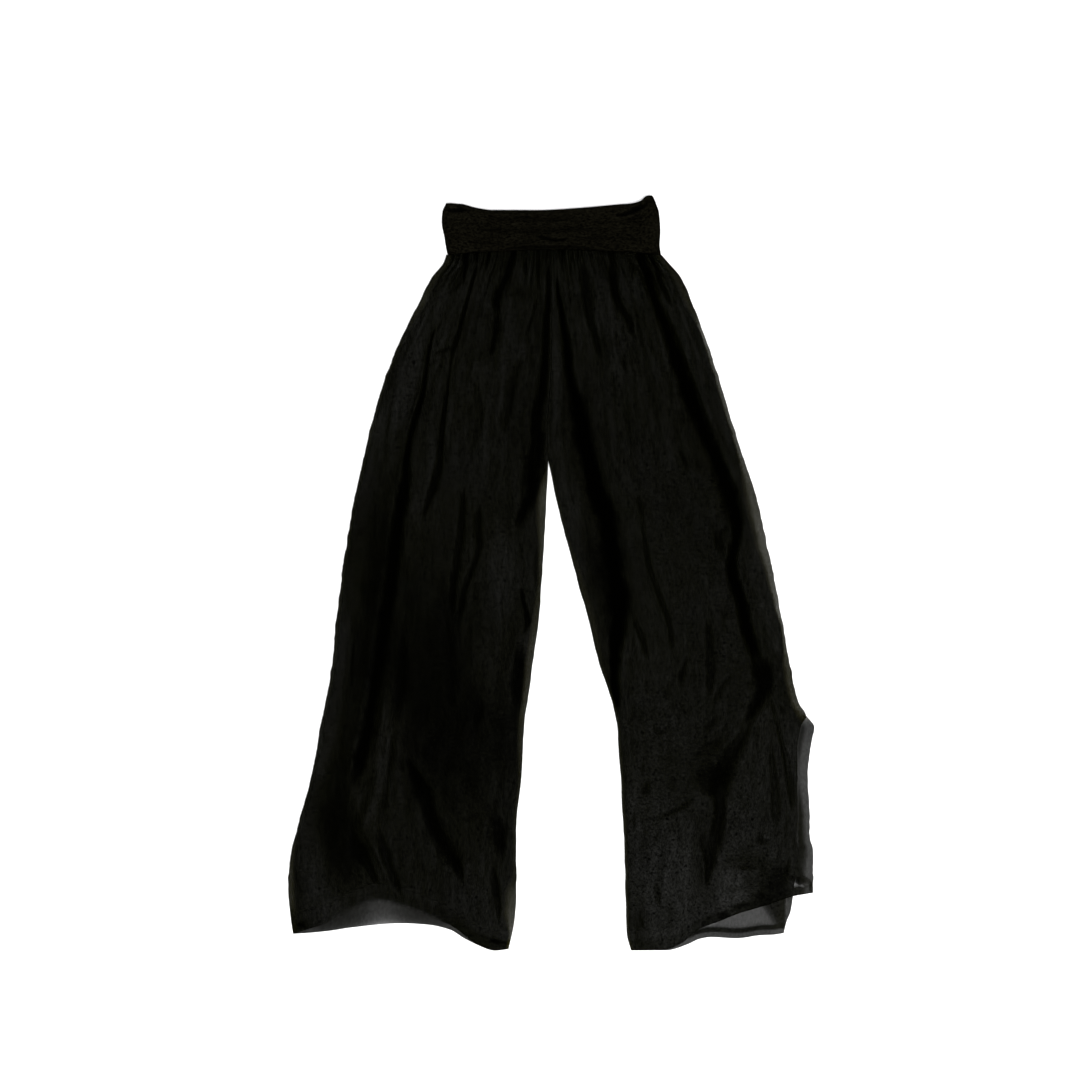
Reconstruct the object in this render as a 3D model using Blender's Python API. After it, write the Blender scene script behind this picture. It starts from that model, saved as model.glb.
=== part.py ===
"""Palazzo trousers laid flat and face up, in metres, with +Z up and +Y towards the waist.

Sheer, gathered front and back legs lie on each other, with a shorter opaque lining between
them, and a doubled jersey band closes the waist. Left and right are as seen from above. The
sizes below are in millimetres. Every piece is one closed wall, worked out on a grid of points
that runs across from its outer side to its inner side and down from the waist seam to the hem.
"""
from collections import namedtuple

import bmesh
import bpy
import numpy as np

MM = 0.001

# Walls and gaps
CLOTH = 1.0                 # sheer outer cloth
LINING = 1.2                # opaque lining
BAND = 2.0                  # doubled jersey of the waistband
GAP = 0.3                   # between pieces that are sewn together or lie on each other
HEM_WIDTH = 9.0             # turned-up hem
HEM_RAISE = 0.5             # how much thicker the turned-up hem is
STEEPEST_WALL = 1.5         # limit of a sloping wall's upright thickness, in wall thicknesses

# How the front lies on the layers under it
PUFF = 3.6                  # air under the front where it has no fold
SWELL = 1.4                 # height of its broad, slow rises
SIDE_ROUND = 12.0           # width over which it rises from a side fold
HEM_ROUND = 28.0            # length over which it rises from the hem
HEM_AIR = 0.25              # share of the rise that is left at the hem itself
REACH = 8.0                 # how far outside the back's edge the front starts to climb it
LINING_REACH = 6.0          # the same at the lining's edge
SOFTNESS = 0.8              # how softly a deep trough settles on the layer under it

# Waist
SEAM_Y = 468.0              # waist seam at the centre front
SEAM_SAG = 7.0              # how much lower the seam is at the sides
CROTCH_Y = 162.0            # where the two legs part
GATHERS = 17                # gathers on each panel
GATHER_HEIGHT = 2.6
GATHER_WIDTH = 2.7          # half width of a gather at the seam
GATHER_REACH = 95.0         # mean length of a gather
BACK_GATHER = 0.8           # height of the gathers on the side that rests on the floor
WAIST_RISE = 60.0           # length over which the back's gathers die out

# Lining, inside the outer legs
LINING_IN_LEFT = (7.0, 7.0)     # from the left leg's outer side and from its inner side
LINING_IN_RIGHT = (17.0, 8.0)   # from the right leg's outer side and from its inner side
LINING_SHORT = 28.0             # how much shorter than the front leg

# Waistband
BAND_PUFF = 2.4
BAND_ROUND = 7.0            # width over which it rises from its side and top folds

Section = namedtuple("Section", "y outer inner")
LEFT_LEG = (
    Section(y=468, outer=-150, inner=0),
    Section(y=451, outer=-155, inner=0),
    Section(y=428, outer=-173, inner=0),
    Section(y=396, outer=-189, inner=1),
    Section(y=335, outer=-219, inner=1),
    Section(y=265, outer=-246, inner=-2),
    Section(y=193, outer=-266, inner=-6),
    Section(y=162, outer=-273, inner=-4),
    Section(y=135, outer=-279, inner=-7),
    Section(y=80, outer=-290, inner=-10),
    Section(y=10, outer=-301, inner=-14),
    Section(y=-59, outer=-310, inner=-19),
    Section(y=-152, outer=-320, inner=-32),
    Section(y=-245, outer=-338, inner=-42),
    Section(y=-315, outer=-352, inner=-49),
    Section(y=-361, outer=-365, inner=-51),
    Section(y=-402, outer=-376, inner=-51),
    Section(y=-454, outer=-381, inner=-52),
    Section(y=-500, outer=-377, inner=-54),
    Section(y=-547, outer=-370, inner=-62),
)
RIGHT_LEG = (
    Section(y=468, outer=154, inner=0),
    Section(y=451, outer=168, inner=0),
    Section(y=428, outer=187, inner=0),
    Section(y=396, outer=201, inner=1),
    Section(y=335, outer=224, inner=1),
    Section(y=265, outer=247, inner=-2),
    Section(y=193, outer=270, inner=-6),
    Section(y=162, outer=279, inner=-4),
    Section(y=149, outer=283, inner=-1),
    Section(y=80, outer=302, inner=15),
    Section(y=10, outer=318, inner=33),
    Section(y=-59, outer=331, inner=52),
    Section(y=-129, outer=344, inner=70),
    Section(y=-187, outer=358, inner=90),
    Section(y=-207, outer=370, inner=96),
    Section(y=-223, outer=381, inner=97),
    Section(y=-245, outer=376, inner=98),
    Section(y=-291, outer=370, inner=101),
    Section(y=-338, outer=374, inner=104),
    Section(y=-384, outer=374, inner=106),
    Section(y=-419, outer=379, inner=107),
    Section(y=-461, outer=378, inner=108),
    Section(y=-523, outer=378, inner=110),
    Section(y=-547, outer=378, inner=116),
)
# The back of the right leg stays narrower where its front has slid outwards.
BACK_OUTER_RIGHT = ((-223, 361), (-271, 357), (-387, 357), (-467, 351), (-492, 347), (-547, 336))

Hem = namedtuple("Hem", "x y")
FRONT_HEM_LEFT = (
    Hem(-373, -523), Hem(-320, -505), Hem(-291, -490), Hem(-248, -476), Hem(-219, -481),
    Hem(-175, -499), Hem(-151, -510), Hem(-103, -541), Hem(-81, -547), Hem(-62, -545),
)
BACK_HEM_LEFT = (
    Hem(-373, -523), Hem(-349, -522), Hem(-291, -513), Hem(-219, -507), Hem(-183, -509),
    Hem(-151, -516), Hem(-129, -528), Hem(-103, -541), Hem(-81, -547), Hem(-62, -545),
)
FRONT_HEM_RIGHT = (
    Hem(378, -460), Hem(351, -466), Hem(329, -473), Hem(303, -481), Hem(274, -490),
    Hem(245, -503), Hem(218, -513), Hem(193, -532), Hem(165, -545), Hem(116, -547),
)
BACK_HEM_RIGHT = (
    Hem(336, -521), Hem(325, -524), Hem(291, -528), Hem(216, -534), Hem(203, -539),
    Hem(165, -547), Hem(116, -547),
)

# Folds of the front: a negative height is a trough, with low shoulders beside it.
Fold = namedtuple("Fold", "name line half_width height")
FRONT_FOLDS = (
    Fold("centre seam ridge",
         ((3, 462), (6, 396), (7, 323), (3, 251), (-3, 193), (-4, 150)), 7, 3.4),
    Fold("left, hip to hem",
         ((-183, 331), (-193, 236), (-216, 149), (-233, -10), (-252, -126), (-265, -242),
          (-306, -307), (-332, -365)), 11, -6.8),
    Fold("left, second from the side", ((-107, 410), (-129, 345), (-148, 265), (-184, 77)), 7, -3.9),
    Fold("left, thigh", ((-129, 120), (-135, 33), (-142, -39)), 9, -4.2),
    Fold("left, thigh ridge", ((-120, 106), (-120, 41), (-110, -3)), 7, 2.3),
    Fold("left, beside the centre", ((-6, 410), (-7, 323), (-17, 207), (-51, 88)), 9, -4.7),
    Fold("left, under the gathers", ((-52, 460), (-71, 413), (-80, 367), (-91, 331)), 8, -3.6),
    Fold("left, front of hip", ((-30, 389), (-42, 323), (-57, 251), (-67, 207)), 8, -2.9),
    Fold("left, knee to hem", ((-219, -278), (-183, -329), (-154, -387), (-129, -445)), 11, -4.4),
    Fold("left, shin ridge", ((-242, -213), (-241, -271), (-265, -355), (-242, -428)), 10, 3.4),
    Fold("left, shin", ((-306, -307), (-331, -365), (-289, -405), (-265, -438)), 9, -3.4),
    Fold("left, inner calf", ((-75, -351), (-68, -402), (-83, -445), (-77, -486)), 8, -3.6),
    Fold("right, hip to calf",
         ((123, 461), (158, 367), (209, 236), (267, 99), (261, 19), (281, -83), (312, -170)),
         11, -6.8),
    Fold("right, waist to knee",
         ((14, 440), (26, 309), (59, 178), (96, 19), (96, -97), (98, -184)), 13, -6.0),
    Fold("right, front of hip", ((84, 461), (96, 403), (119, 345)), 8, -3.9),
    Fold("right, middle of thigh", ((129, 99), (148, -3), (173, -83), (174, -155)), 8, -4.4),
    Fold("right, outer calf", ((320, -184), (336, -252), (345, -329)), 8, -3.4),
    Fold("right, shin", ((291, -184), (267, -249), (245, -293), (245, -329)), 11, -4.2),
    Fold("right, over the hem", ((242, -358), (233, -402), (226, -460)), 10, -4.2),
    Fold("right, across the shin", ((144, -348), (180, -344), (216, -334)), 8, -2.9),
    Fold("right, corner of the hem", ((299, -467), (325, -445), (341, -416)), 7, -2.6),
)
BAND_FOLDS = (
    Fold("middle crease", ((-105, 500), (-30, 496), (70, 500)), 6, -1.6),
    Fold("lower crease", ((-30, 486), (15, 486)), 3.5, -1.3),
    Fold("left roll", ((-146, 524), (-128, 527), (-112, 520)), 5, -1.8),
    Fold("left corner", ((-148, 532), (-135, 530)), 5, 2.6),
    Fold("right crease", ((100, 521), (130, 527), (150, 528)), 5, -2.0),
    Fold("right peak", ((118, 530), (142, 541)), 6, 3.6),
)

Edge = namedtuple("Edge", "x y")
BAND_TOP = (
    Edge(-152, 535), Edge(-129, 534), Edge(-106, 528), Edge(-74, 523), Edge(-16, 523),
    Edge(42, 526), Edge(94, 531), Edge(127, 535), Edge(138, 546), Edge(145, 547), Edge(151, 536),
)
BAND_LEFT = (Edge(-149, 460), Edge(-151, 468), Edge(-154, 486), Edge(-158, 509),
             Edge(-157, 523), Edge(-152, 535))
BAND_RIGHT = (Edge(157, 460), Edge(155, 477), Edge(157, 494), Edge(155, 523), Edge(151, 536))

# Grid: how far down each row lies, as a share of the way to the hem, and its columns
Row = namedtuple("Row", "down columns")
GATHER_COLUMNS = 4 * GATHERS
FOLD_COLUMNS = 30
FLAT_COLUMNS = 12
GATHER_DOWNS = (0.0, 0.012, 0.026, 0.042, 0.062)
LEG_DOWNS = (
    0.085, 0.115, 0.15, 0.19, 0.23, 0.268, 0.305, 0.355, 0.405, 0.455, 0.505, 0.555, 0.605,
    0.655, 0.685, 0.711, 0.733, 0.751, 0.775, 0.805, 0.84, 0.88, 0.94, 0.975, 1.0,
)
RIM = (0.0, 1.5, 4.5, 9.0)      # columns close to a side, in millimetres from it

CHIFFON = dict(name="sheer_black", color=(0.006, 0.0065, 0.0055, 1.0), roughness=0.62)
SATIN = dict(name="lining_black", color=(0.004, 0.0045, 0.004, 1.0), roughness=0.5)
JERSEY = dict(name="jersey_black", color=(0.005, 0.005, 0.0035, 1.0), roughness=0.8)


def smooth_line(knots, values, at):
    """Values at places on a smooth line through the knots, which never overshoots them."""
    order = np.argsort(knots)
    x = np.asarray(knots, float)[order]
    y = np.asarray(values, float)[order]
    step = np.diff(x)
    slope = np.diff(y) / step
    tangent = np.zeros(len(x))
    tangent[0] = slope[0]
    tangent[-1] = slope[-1]
    for k in range(1, len(x) - 1):
        if slope[k - 1] * slope[k] > 0:
            before = 2 * step[k] + step[k - 1]
            after = step[k] + 2 * step[k - 1]
            tangent[k] = (before + after) / (before / slope[k - 1] + after / slope[k])
    at = np.clip(at, x[0], x[-1])
    k = np.clip(np.searchsorted(x, at, side="right") - 1, 0, len(x) - 2)
    t = (at - x[k]) / step[k]
    bend = tangent[k] * t * (1 - t) ** 2 + tangent[k + 1] * t ** 2 * (t - 1)
    return y[k] * (1 + 2 * t) * (1 - t) ** 2 + y[k + 1] * t ** 2 * (3 - 2 * t) + step[k] * bend


def smooth_step(value):
    """0 below 0, 1 above 1, and an even rise between."""
    t = np.clip(value, 0.0, 1.0)
    return t * t * (3 - 2 * t)


def quarter_round(value):
    """0 at 0, rising upright like the side of a circle, and 1 from 1 on."""
    t = np.clip(value, 0.0, 1.0)
    return np.sqrt(1 - (1 - t) ** 2)


class Leg:
    """Outline of one leg panel: side lines as functions of y, and a hem."""

    def __init__(self, sections, hem, side, inset=(0.0, 0.0), shorter=0.0, back_outer=()):
        self.side = side                    # -1 for the left leg, +1 for the right one
        self.inset = inset
        self.shorter = shorter
        rows = [(row.y, row.outer) for row in sections]
        if back_outer:
            rows = [row for row in rows if row[0] > back_outer[0][0]] + list(back_outer)
        self.outer_rows = rows
        self.seam_rows = [(row.y, row.inner) for row in sections if row.y >= CROTCH_Y]
        self.inseam_rows = [(row.y, row.inner) for row in sections if row.y <= CROTCH_Y]
        self.hem = hem

    def outer(self, y):
        return smooth_line(*zip(*self.outer_rows), y) - self.side * self.inset[0]

    def inner(self, y):
        seam = smooth_line(*zip(*self.seam_rows), y)
        inseam = smooth_line(*zip(*self.inseam_rows), y)
        below = smooth_step((CROTCH_Y - y) / 12.0)
        middle = np.where(y > CROTCH_Y, seam, inseam)
        return middle + self.side * (GAP / 2 + self.inset[1] * below)

    def hem_y(self, share):
        """Height of the hem, by the share of the way from the outer side to the inner one."""
        first = self.hem[0].x
        last = self.hem[-1].x
        knots = [(point.x - first) / (last - first) for point in self.hem]
        return smooth_line(knots, [point.y for point in self.hem], share) + self.shorter

    def share(self, x, y):
        """Share of the way from the outer side to the inner one, for points inside."""
        return (x - self.outer(y)) / (self.inner(y) - self.outer(y))

    def depths(self, x, y):
        """How far inside the outer side, the inner side and the hem the points lie."""
        outer = self.side * (self.outer(y) - x)
        level = np.minimum(y, CROTCH_Y)
        inner = self.side * (x - self.inner(level))
        inner = np.where(y > CROTCH_Y, np.hypot(inner, y - level), inner)
        hem = y - self.hem_y(np.clip(self.share(x, y), 0.0, 1.0))
        return outer, inner, hem


FRONT_LEFT = Leg(LEFT_LEG, FRONT_HEM_LEFT, -1)
FRONT_RIGHT = Leg(RIGHT_LEG, FRONT_HEM_RIGHT, 1)
BACK_LEFT = Leg(LEFT_LEG, BACK_HEM_LEFT, -1)
BACK_RIGHT = Leg(RIGHT_LEG, BACK_HEM_RIGHT, 1, back_outer=BACK_OUTER_RIGHT)
LINING_LEFT = Leg(LEFT_LEG, FRONT_HEM_LEFT, -1, LINING_IN_LEFT, LINING_SHORT)
LINING_RIGHT = Leg(RIGHT_LEG, FRONT_HEM_RIGHT, 1, LINING_IN_RIGHT, LINING_SHORT)


def seam_y(across):
    """Height of the waist seam, by the share of the way from the centre to a side."""
    return SEAM_Y - SEAM_SAG * across ** 2


def curve_through(line, steps=8):
    """Points on a smooth curve through a fold's points, with the share of its length."""
    points = np.array(line, float)
    ends = np.vstack((2 * points[0] - points[1], points, 2 * points[-1] - points[-2]))
    pieces = []
    for k in range(len(points) - 1):
        a, b, c, d = ends[k:k + 4]
        t = np.linspace(0, 1, steps, endpoint=False)[:, None]
        pieces.append(0.5 * (2 * b + (c - a) * t + (2 * a - 5 * b + 4 * c - d) * t ** 2
                             + (3 * b - a - 3 * c + d) * t ** 3))
    curve = np.vstack(pieces + [points[-1:]])
    walked = np.concatenate(([0], np.cumsum(np.hypot(*np.diff(curve, axis=0).T))))
    return curve, walked / walked[-1]


def fold_height(x, y, fold):
    """Height that one fold adds: a trough with low shoulders, or a rounded ridge."""
    curve, along = curve_through(fold.line)
    start = curve[:-1]
    run = np.diff(curve, axis=0)
    to_point = np.stack((x, y), -1)[..., None, :] - start
    t = np.clip((to_point * run).sum(-1) / (run ** 2).sum(-1), 0, 1)
    away = np.hypot(*np.moveaxis(to_point - t[..., None] * run, -1, 0))
    nearest = away.argmin(-1)[..., None]
    away = np.take_along_axis(away, nearest, -1)[..., 0]
    place = np.take_along_axis(along[:-1] + t * np.diff(along), nearest, -1)[..., 0]
    q = (away / fold.half_width) ** 2
    ends = np.sin(np.pi * np.clip(place, 0.02, 0.98)) ** 0.6
    if fold.height < 0:
        return fold.height * ends * (1 - 0.9 * q) * np.exp(-q / 1.6)
    return fold.height * ends * np.exp(-q)


def gather_height(x, y, leg):
    """Height of the gathers under the waist seam, each of its own height and length."""
    share = leg.share(x, y)
    width = np.abs(leg.inner(y) - leg.outer(y))
    down = seam_y(1 - share) - y
    total = np.zeros(np.shape(x))
    for k in range(GATHERS):
        lively = (k * 0.618 + (0.3 if leg.side > 0 else 0.0)) % 1.0
        centre = (k + 0.5 + 0.24 * (lively - 0.5)) / GATHERS
        spread = GATHER_WIDTH * (1 + down / 42.0)
        height = GATHER_HEIGHT * (0.65 + 0.7 * lively)
        length = GATHER_REACH * (0.45 + 1.1 * ((lively * 7.3) % 1.0))
        fade = np.exp(-(np.maximum(down, 0) / length) ** 1.5)
        total += height * fade * np.exp(-((share - centre) * width / spread) ** 2)
    return total


def waist_rise(down):
    """Room that the back's gathers need under the layers above them."""
    return BACK_GATHER * smooth_step((WAIST_RISE - down) / (0.6 * WAIST_RISE))


def lining_bottom(down):
    return CLOTH + GAP + waist_rise(down)


def front_bottom(x, y, leg, back, lining):
    """Underside of a front leg: it climbs over the layers below it and puffs up in folds."""
    share = leg.share(x, y)
    down = seam_y(1 - share) - y
    outer, inner, hem = leg.depths(x, y)
    back_outer, _, back_hem = back.depths(x, y)
    lining_outer, lining_inner, lining_hem = lining.depths(x, y)
    lining_inner = np.where(y > CROTCH_Y, np.inf, lining_inner)
    in_lining = np.minimum(np.minimum(lining_outer, lining_hem), lining_inner)
    over_back = smooth_step(1 + back_outer / REACH)
    over_lining = smooth_step(1 + in_lining / LINING_REACH)
    over_hem = smooth_step((1.5 * HEM_WIDTH - back_hem) / (0.4 * HEM_WIDTH))
    support = (CLOTH + GAP) * over_back + HEM_RAISE * over_hem * over_back
    support += (LINING + GAP) * over_lining + waist_rise(down)
    lift = PUFF + SWELL * np.sin(x / 31.0 + 0.8) * np.sin(y / 57.0 + x / 140.0)
    lift = lift + gather_height(x, y, leg) - 0.7 * np.exp(-down / 25.0)
    for fold in FRONT_FOLDS:
        lift = lift + fold_height(x, y, fold)
    lift = SOFTNESS * np.logaddexp(0.0, lift / SOFTNESS)
    round_off = quarter_round(outer / SIDE_ROUND) * quarter_round(inner / SIDE_ROUND)
    at_hem = HEM_AIR + (1 - HEM_AIR) * quarter_round(hem / HEM_ROUND)
    return support + lift * round_off * at_hem


def back_bottom(x, y, leg):
    """Underside of a back leg: flat on the floor, but for low gathers under the waist."""
    share = leg.share(x, y)
    down = seam_y(1 - share) - y
    wave = 0.5 - 0.5 * np.cos(2 * np.pi * GATHERS * share)
    return wave * waist_rise(down)


def band_bottom(x, y):
    """Underside of the band's front: it puffs up between its folded sides, with creases."""
    knots, values = zip(*[(edge.y, edge.x) for edge in BAND_LEFT])
    left = x - smooth_line(knots, values, y)
    knots, values = zip(*[(edge.y, edge.x) for edge in BAND_RIGHT])
    right = smooth_line(knots, values, y) - x
    knots, values = zip(*BAND_TOP)
    top = smooth_line(knots, values, x) - y
    lift = BAND_PUFF + 0.4 * np.sin(x / 17.0) * np.sin(y / 9.0)
    for fold in BAND_FOLDS:
        lift = lift + fold_height(x, y, fold)
    lift = SOFTNESS * np.logaddexp(0.0, lift / SOFTNESS)
    round_off = quarter_round(left / BAND_ROUND) * quarter_round(right / BAND_ROUND)
    return BAND + GAP + lift * round_off * (0.3 + 0.7 * quarter_round((top + 1) / BAND_ROUND))


def across(width, columns):
    """Shares across a panel: columns close together at both sides, and even between them."""
    rim = np.array(RIM) / width
    middle = np.linspace(rim[-1], 1 - rim[-1], columns + 1 - 2 * (len(RIM) - 1))
    return np.concatenate((rim[:-1], middle, 1 - rim[-2::-1]))


def leg_rows(leg, gather_columns, columns, hem_band=True):
    """Rows of points of a leg panel from the waist seam to the hem, each as x, y and share."""
    rows = [Row(down, gather_columns) for down in GATHER_DOWNS]
    rows += [Row(down, columns) for down in LEG_DOWNS]
    last = HEM_WIDTH + 1.0 if hem_band else 0.0
    table = []
    for row in rows:
        middle = SEAM_Y + (leg.hem_y(0.5) - SEAM_Y) * row.down
        share = across(abs(leg.inner(middle) - leg.outer(middle)), row.columns)
        top = seam_y(1 - share) - GAP / 2
        table.append((share, top + (leg.hem_y(share) + last - top) * row.down))
    if hem_band:
        share = table[-1][0]
        table += [(share, leg.hem_y(share) + HEM_WIDTH), (share, leg.hem_y(share))]
    placed = []
    for share, y in table:
        placed.append((leg.outer(y) + (leg.inner(y) - leg.outer(y)) * share, y, share))
    return placed


def upper_side(bottom, x, y, wall):
    """Height of a wall's upper side, so that the wall keeps its thickness where it slopes."""
    here = bottom(x, y)
    slope = np.hypot(bottom(x + 0.5, y) - here, bottom(x, y + 0.5) - here) / 0.5
    return here + wall * np.minimum(np.sqrt(1 + slope ** 2), STEEPEST_WALL)


def strip(first, second, first_start, second_start):
    """Triangles between two rows of points, which may have different numbers of columns."""
    faces = []
    i = 0
    j = 0
    while i < len(first) - 1 or j < len(second) - 1:
        step_first = j == len(second) - 1
        if not step_first and i < len(first) - 1:
            step_first = first[i + 1] <= second[j + 1]
        if step_first:
            faces.append((first_start + i, first_start + i + 1, second_start + j))
            i += 1
        else:
            faces.append((first_start + i, second_start + j + 1, second_start + j))
            j += 1
    return faces


def wall(name, rows, finish):
    """One closed wall from rows of (x, y, share, underside, upper side)."""
    starts = np.concatenate(([0], np.cumsum([len(row[0]) for row in rows])))
    count = int(starts[-1])
    flat = np.hstack([np.stack((row[0], row[1])) for row in rows])
    under = np.concatenate([row[3] for row in rows])
    upper = np.concatenate([row[4] for row in rows])
    faces = []
    for k in range(len(rows) - 1):
        faces += strip(rows[k][2], rows[k + 1][2], int(starts[k]), int(starts[k + 1]))
    first = [int(start) for start in starts[:-1]]
    last = [int(start) - 1 for start in starts[1:]]
    ring = list(range(first[0], last[0])) + last[:-1]
    ring += list(range(last[-1], first[-1], -1)) + first[:0:-1]
    turned = [tuple(count + k for k in face[::-1]) for face in faces]
    sides = []
    for a, b in zip(ring, ring[1:] + ring[:1]):
        sides += [(b, a, count + a), (b, count + a, count + b)]
    points = np.vstack((np.c_[flat.T, under], np.c_[flat.T, upper])) * MM
    mesh = bpy.data.meshes.new(name)
    mesh.from_pydata(points.tolist(), [], faces + turned + sides)
    shell = bmesh.new()
    shell.from_mesh(mesh)
    bmesh.ops.recalc_face_normals(shell, faces=shell.faces)
    shell.to_mesh(mesh)
    shell.free()
    mesh.shade_smooth()
    mesh.set_sharp_from_angle(angle=0.9)
    mesh.materials.append(material(**finish))
    piece = bpy.data.objects.new(name, mesh)
    bpy.context.scene.collection.objects.link(piece)
    piece.parent = root
    return piece


def material(name, color, roughness):
    """A plain cloth finish, made once for each name."""
    if name in bpy.data.materials:
        return bpy.data.materials[name]
    cloth = bpy.data.materials.new(name)
    cloth.use_nodes = True
    shader = cloth.node_tree.nodes["Principled BSDF"]
    shader.inputs["Base Color"].default_value = color
    shader.inputs["Roughness"].default_value = roughness
    shader.inputs["Metallic"].default_value = 0.0
    return cloth


def hem_thickness(leg, y, share):
    """Extra thickness of the turned-up hem."""
    return HEM_RAISE * (y - leg.hem_y(share) < HEM_WIDTH + 0.5)


def front_leg(name, leg, back, lining):
    def bottom(x, y):
        return front_bottom(x, y, leg, back, lining)

    rows = []
    for x, y, share in leg_rows(leg, GATHER_COLUMNS, FOLD_COLUMNS):
        upper = upper_side(bottom, x, y, CLOTH) + hem_thickness(leg, y, share)
        rows.append((x, y, share, bottom(x, y), upper))
    return wall(name, rows, CHIFFON)


def back_leg(name, leg):
    rows = []
    for x, y, share in leg_rows(leg, 2 * GATHERS, FLAT_COLUMNS):
        under = back_bottom(x, y, leg)
        rows.append((x, y, share, under, under + CLOTH + hem_thickness(leg, y, share)))
    return wall(name, rows, CHIFFON)


def lining_leg(name, leg):
    rows = []
    for x, y, share in leg_rows(leg, FLAT_COLUMNS, FLAT_COLUMNS, hem_band=False):
        under = lining_bottom(seam_y(1 - share) - y)
        rows.append((x, y, share, under, under + LINING))
    return wall(name, rows, SATIN)


def band_rows(columns, downs):
    """Rows of points of the waistband from its top fold to the waist seam."""
    placed = []
    left_y, left_x = zip(*[(edge.y, edge.x) for edge in BAND_LEFT])
    right_y, right_x = zip(*[(edge.y, edge.x) for edge in BAND_RIGHT])
    top_x, top_y = zip(*BAND_TOP)
    for down in downs:
        share = np.linspace(0, 1, columns + 1)
        wide = top_x[0] + (top_x[-1] - top_x[0]) * share
        low = seam_y(2 * share - 1) + GAP / 2
        y = smooth_line(top_x, top_y, wide) * (1 - down) + low * down
        left = smooth_line(left_y, left_x, y)
        right = smooth_line(right_y, right_x, y)
        placed.append((left + (right - left) * share, y, share))
    return placed


def waistband():
    """The band's two halves, the front one over the back one."""
    downs = (0.0, 0.04, 0.12, 0.24, 0.38, 0.52, 0.66, 0.8, 0.92, 1.0)
    rows = []
    for x, y, share in band_rows(44, downs):
        under = band_bottom(x, y)
        rows.append((x, y, share, under, upper_side(band_bottom, x, y, BAND)))
    wall("waistband_front", rows, JERSEY)
    rows = []
    for x, y, share in band_rows(24, (0.0, 0.5, 1.0)):
        flat = np.zeros(len(x))
        rows.append((x, y, share, flat, flat + BAND))
    wall("waistband_back", rows, JERSEY)


for old in list(bpy.data.objects):
    bpy.data.objects.remove(old, do_unlink=True)
root = bpy.data.objects.new("trousers", None)
bpy.context.scene.collection.objects.link(root)

back_leg("back_leg_left", BACK_LEFT)
back_leg("back_leg_right", BACK_RIGHT)
lining_leg("lining_left", LINING_LEFT)
lining_leg("lining_right", LINING_RIGHT)
front_leg("front_leg_left", FRONT_LEFT, BACK_LEFT, LINING_LEFT)
front_leg("front_leg_right", FRONT_RIGHT, BACK_RIGHT, LINING_RIGHT)
waistband()
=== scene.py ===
# Palazzo trousers laid flat and face up: sheer gathered legs over a shorter lining, under a jersey band.
# The dictionaries hold millimetres in the frame's own axes, and every mesh is made in metres.
import math

import bpy
import numpy as np
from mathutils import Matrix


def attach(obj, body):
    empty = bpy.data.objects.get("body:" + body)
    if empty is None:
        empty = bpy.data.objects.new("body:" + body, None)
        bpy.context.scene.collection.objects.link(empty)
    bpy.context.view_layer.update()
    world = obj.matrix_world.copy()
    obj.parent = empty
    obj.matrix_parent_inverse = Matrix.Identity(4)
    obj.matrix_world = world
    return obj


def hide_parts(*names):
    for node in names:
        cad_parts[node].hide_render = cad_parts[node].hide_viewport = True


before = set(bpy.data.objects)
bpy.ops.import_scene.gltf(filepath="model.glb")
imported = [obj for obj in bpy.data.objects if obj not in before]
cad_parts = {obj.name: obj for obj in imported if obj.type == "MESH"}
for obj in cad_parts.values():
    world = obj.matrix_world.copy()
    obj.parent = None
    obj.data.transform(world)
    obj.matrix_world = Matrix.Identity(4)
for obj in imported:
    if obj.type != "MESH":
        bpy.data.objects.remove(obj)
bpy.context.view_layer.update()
mm = 0.001
print("frame loaded:", sorted(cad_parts))

waist = {
    "seamY": 468.0,             # waist seam at the centre
    "seamSag": 7.0,             # how much lower it is at the sides
    "crotchY": 162.0,
    "seamGap": 0.02,            # between the two legs, and between a leg and the band
}

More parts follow.
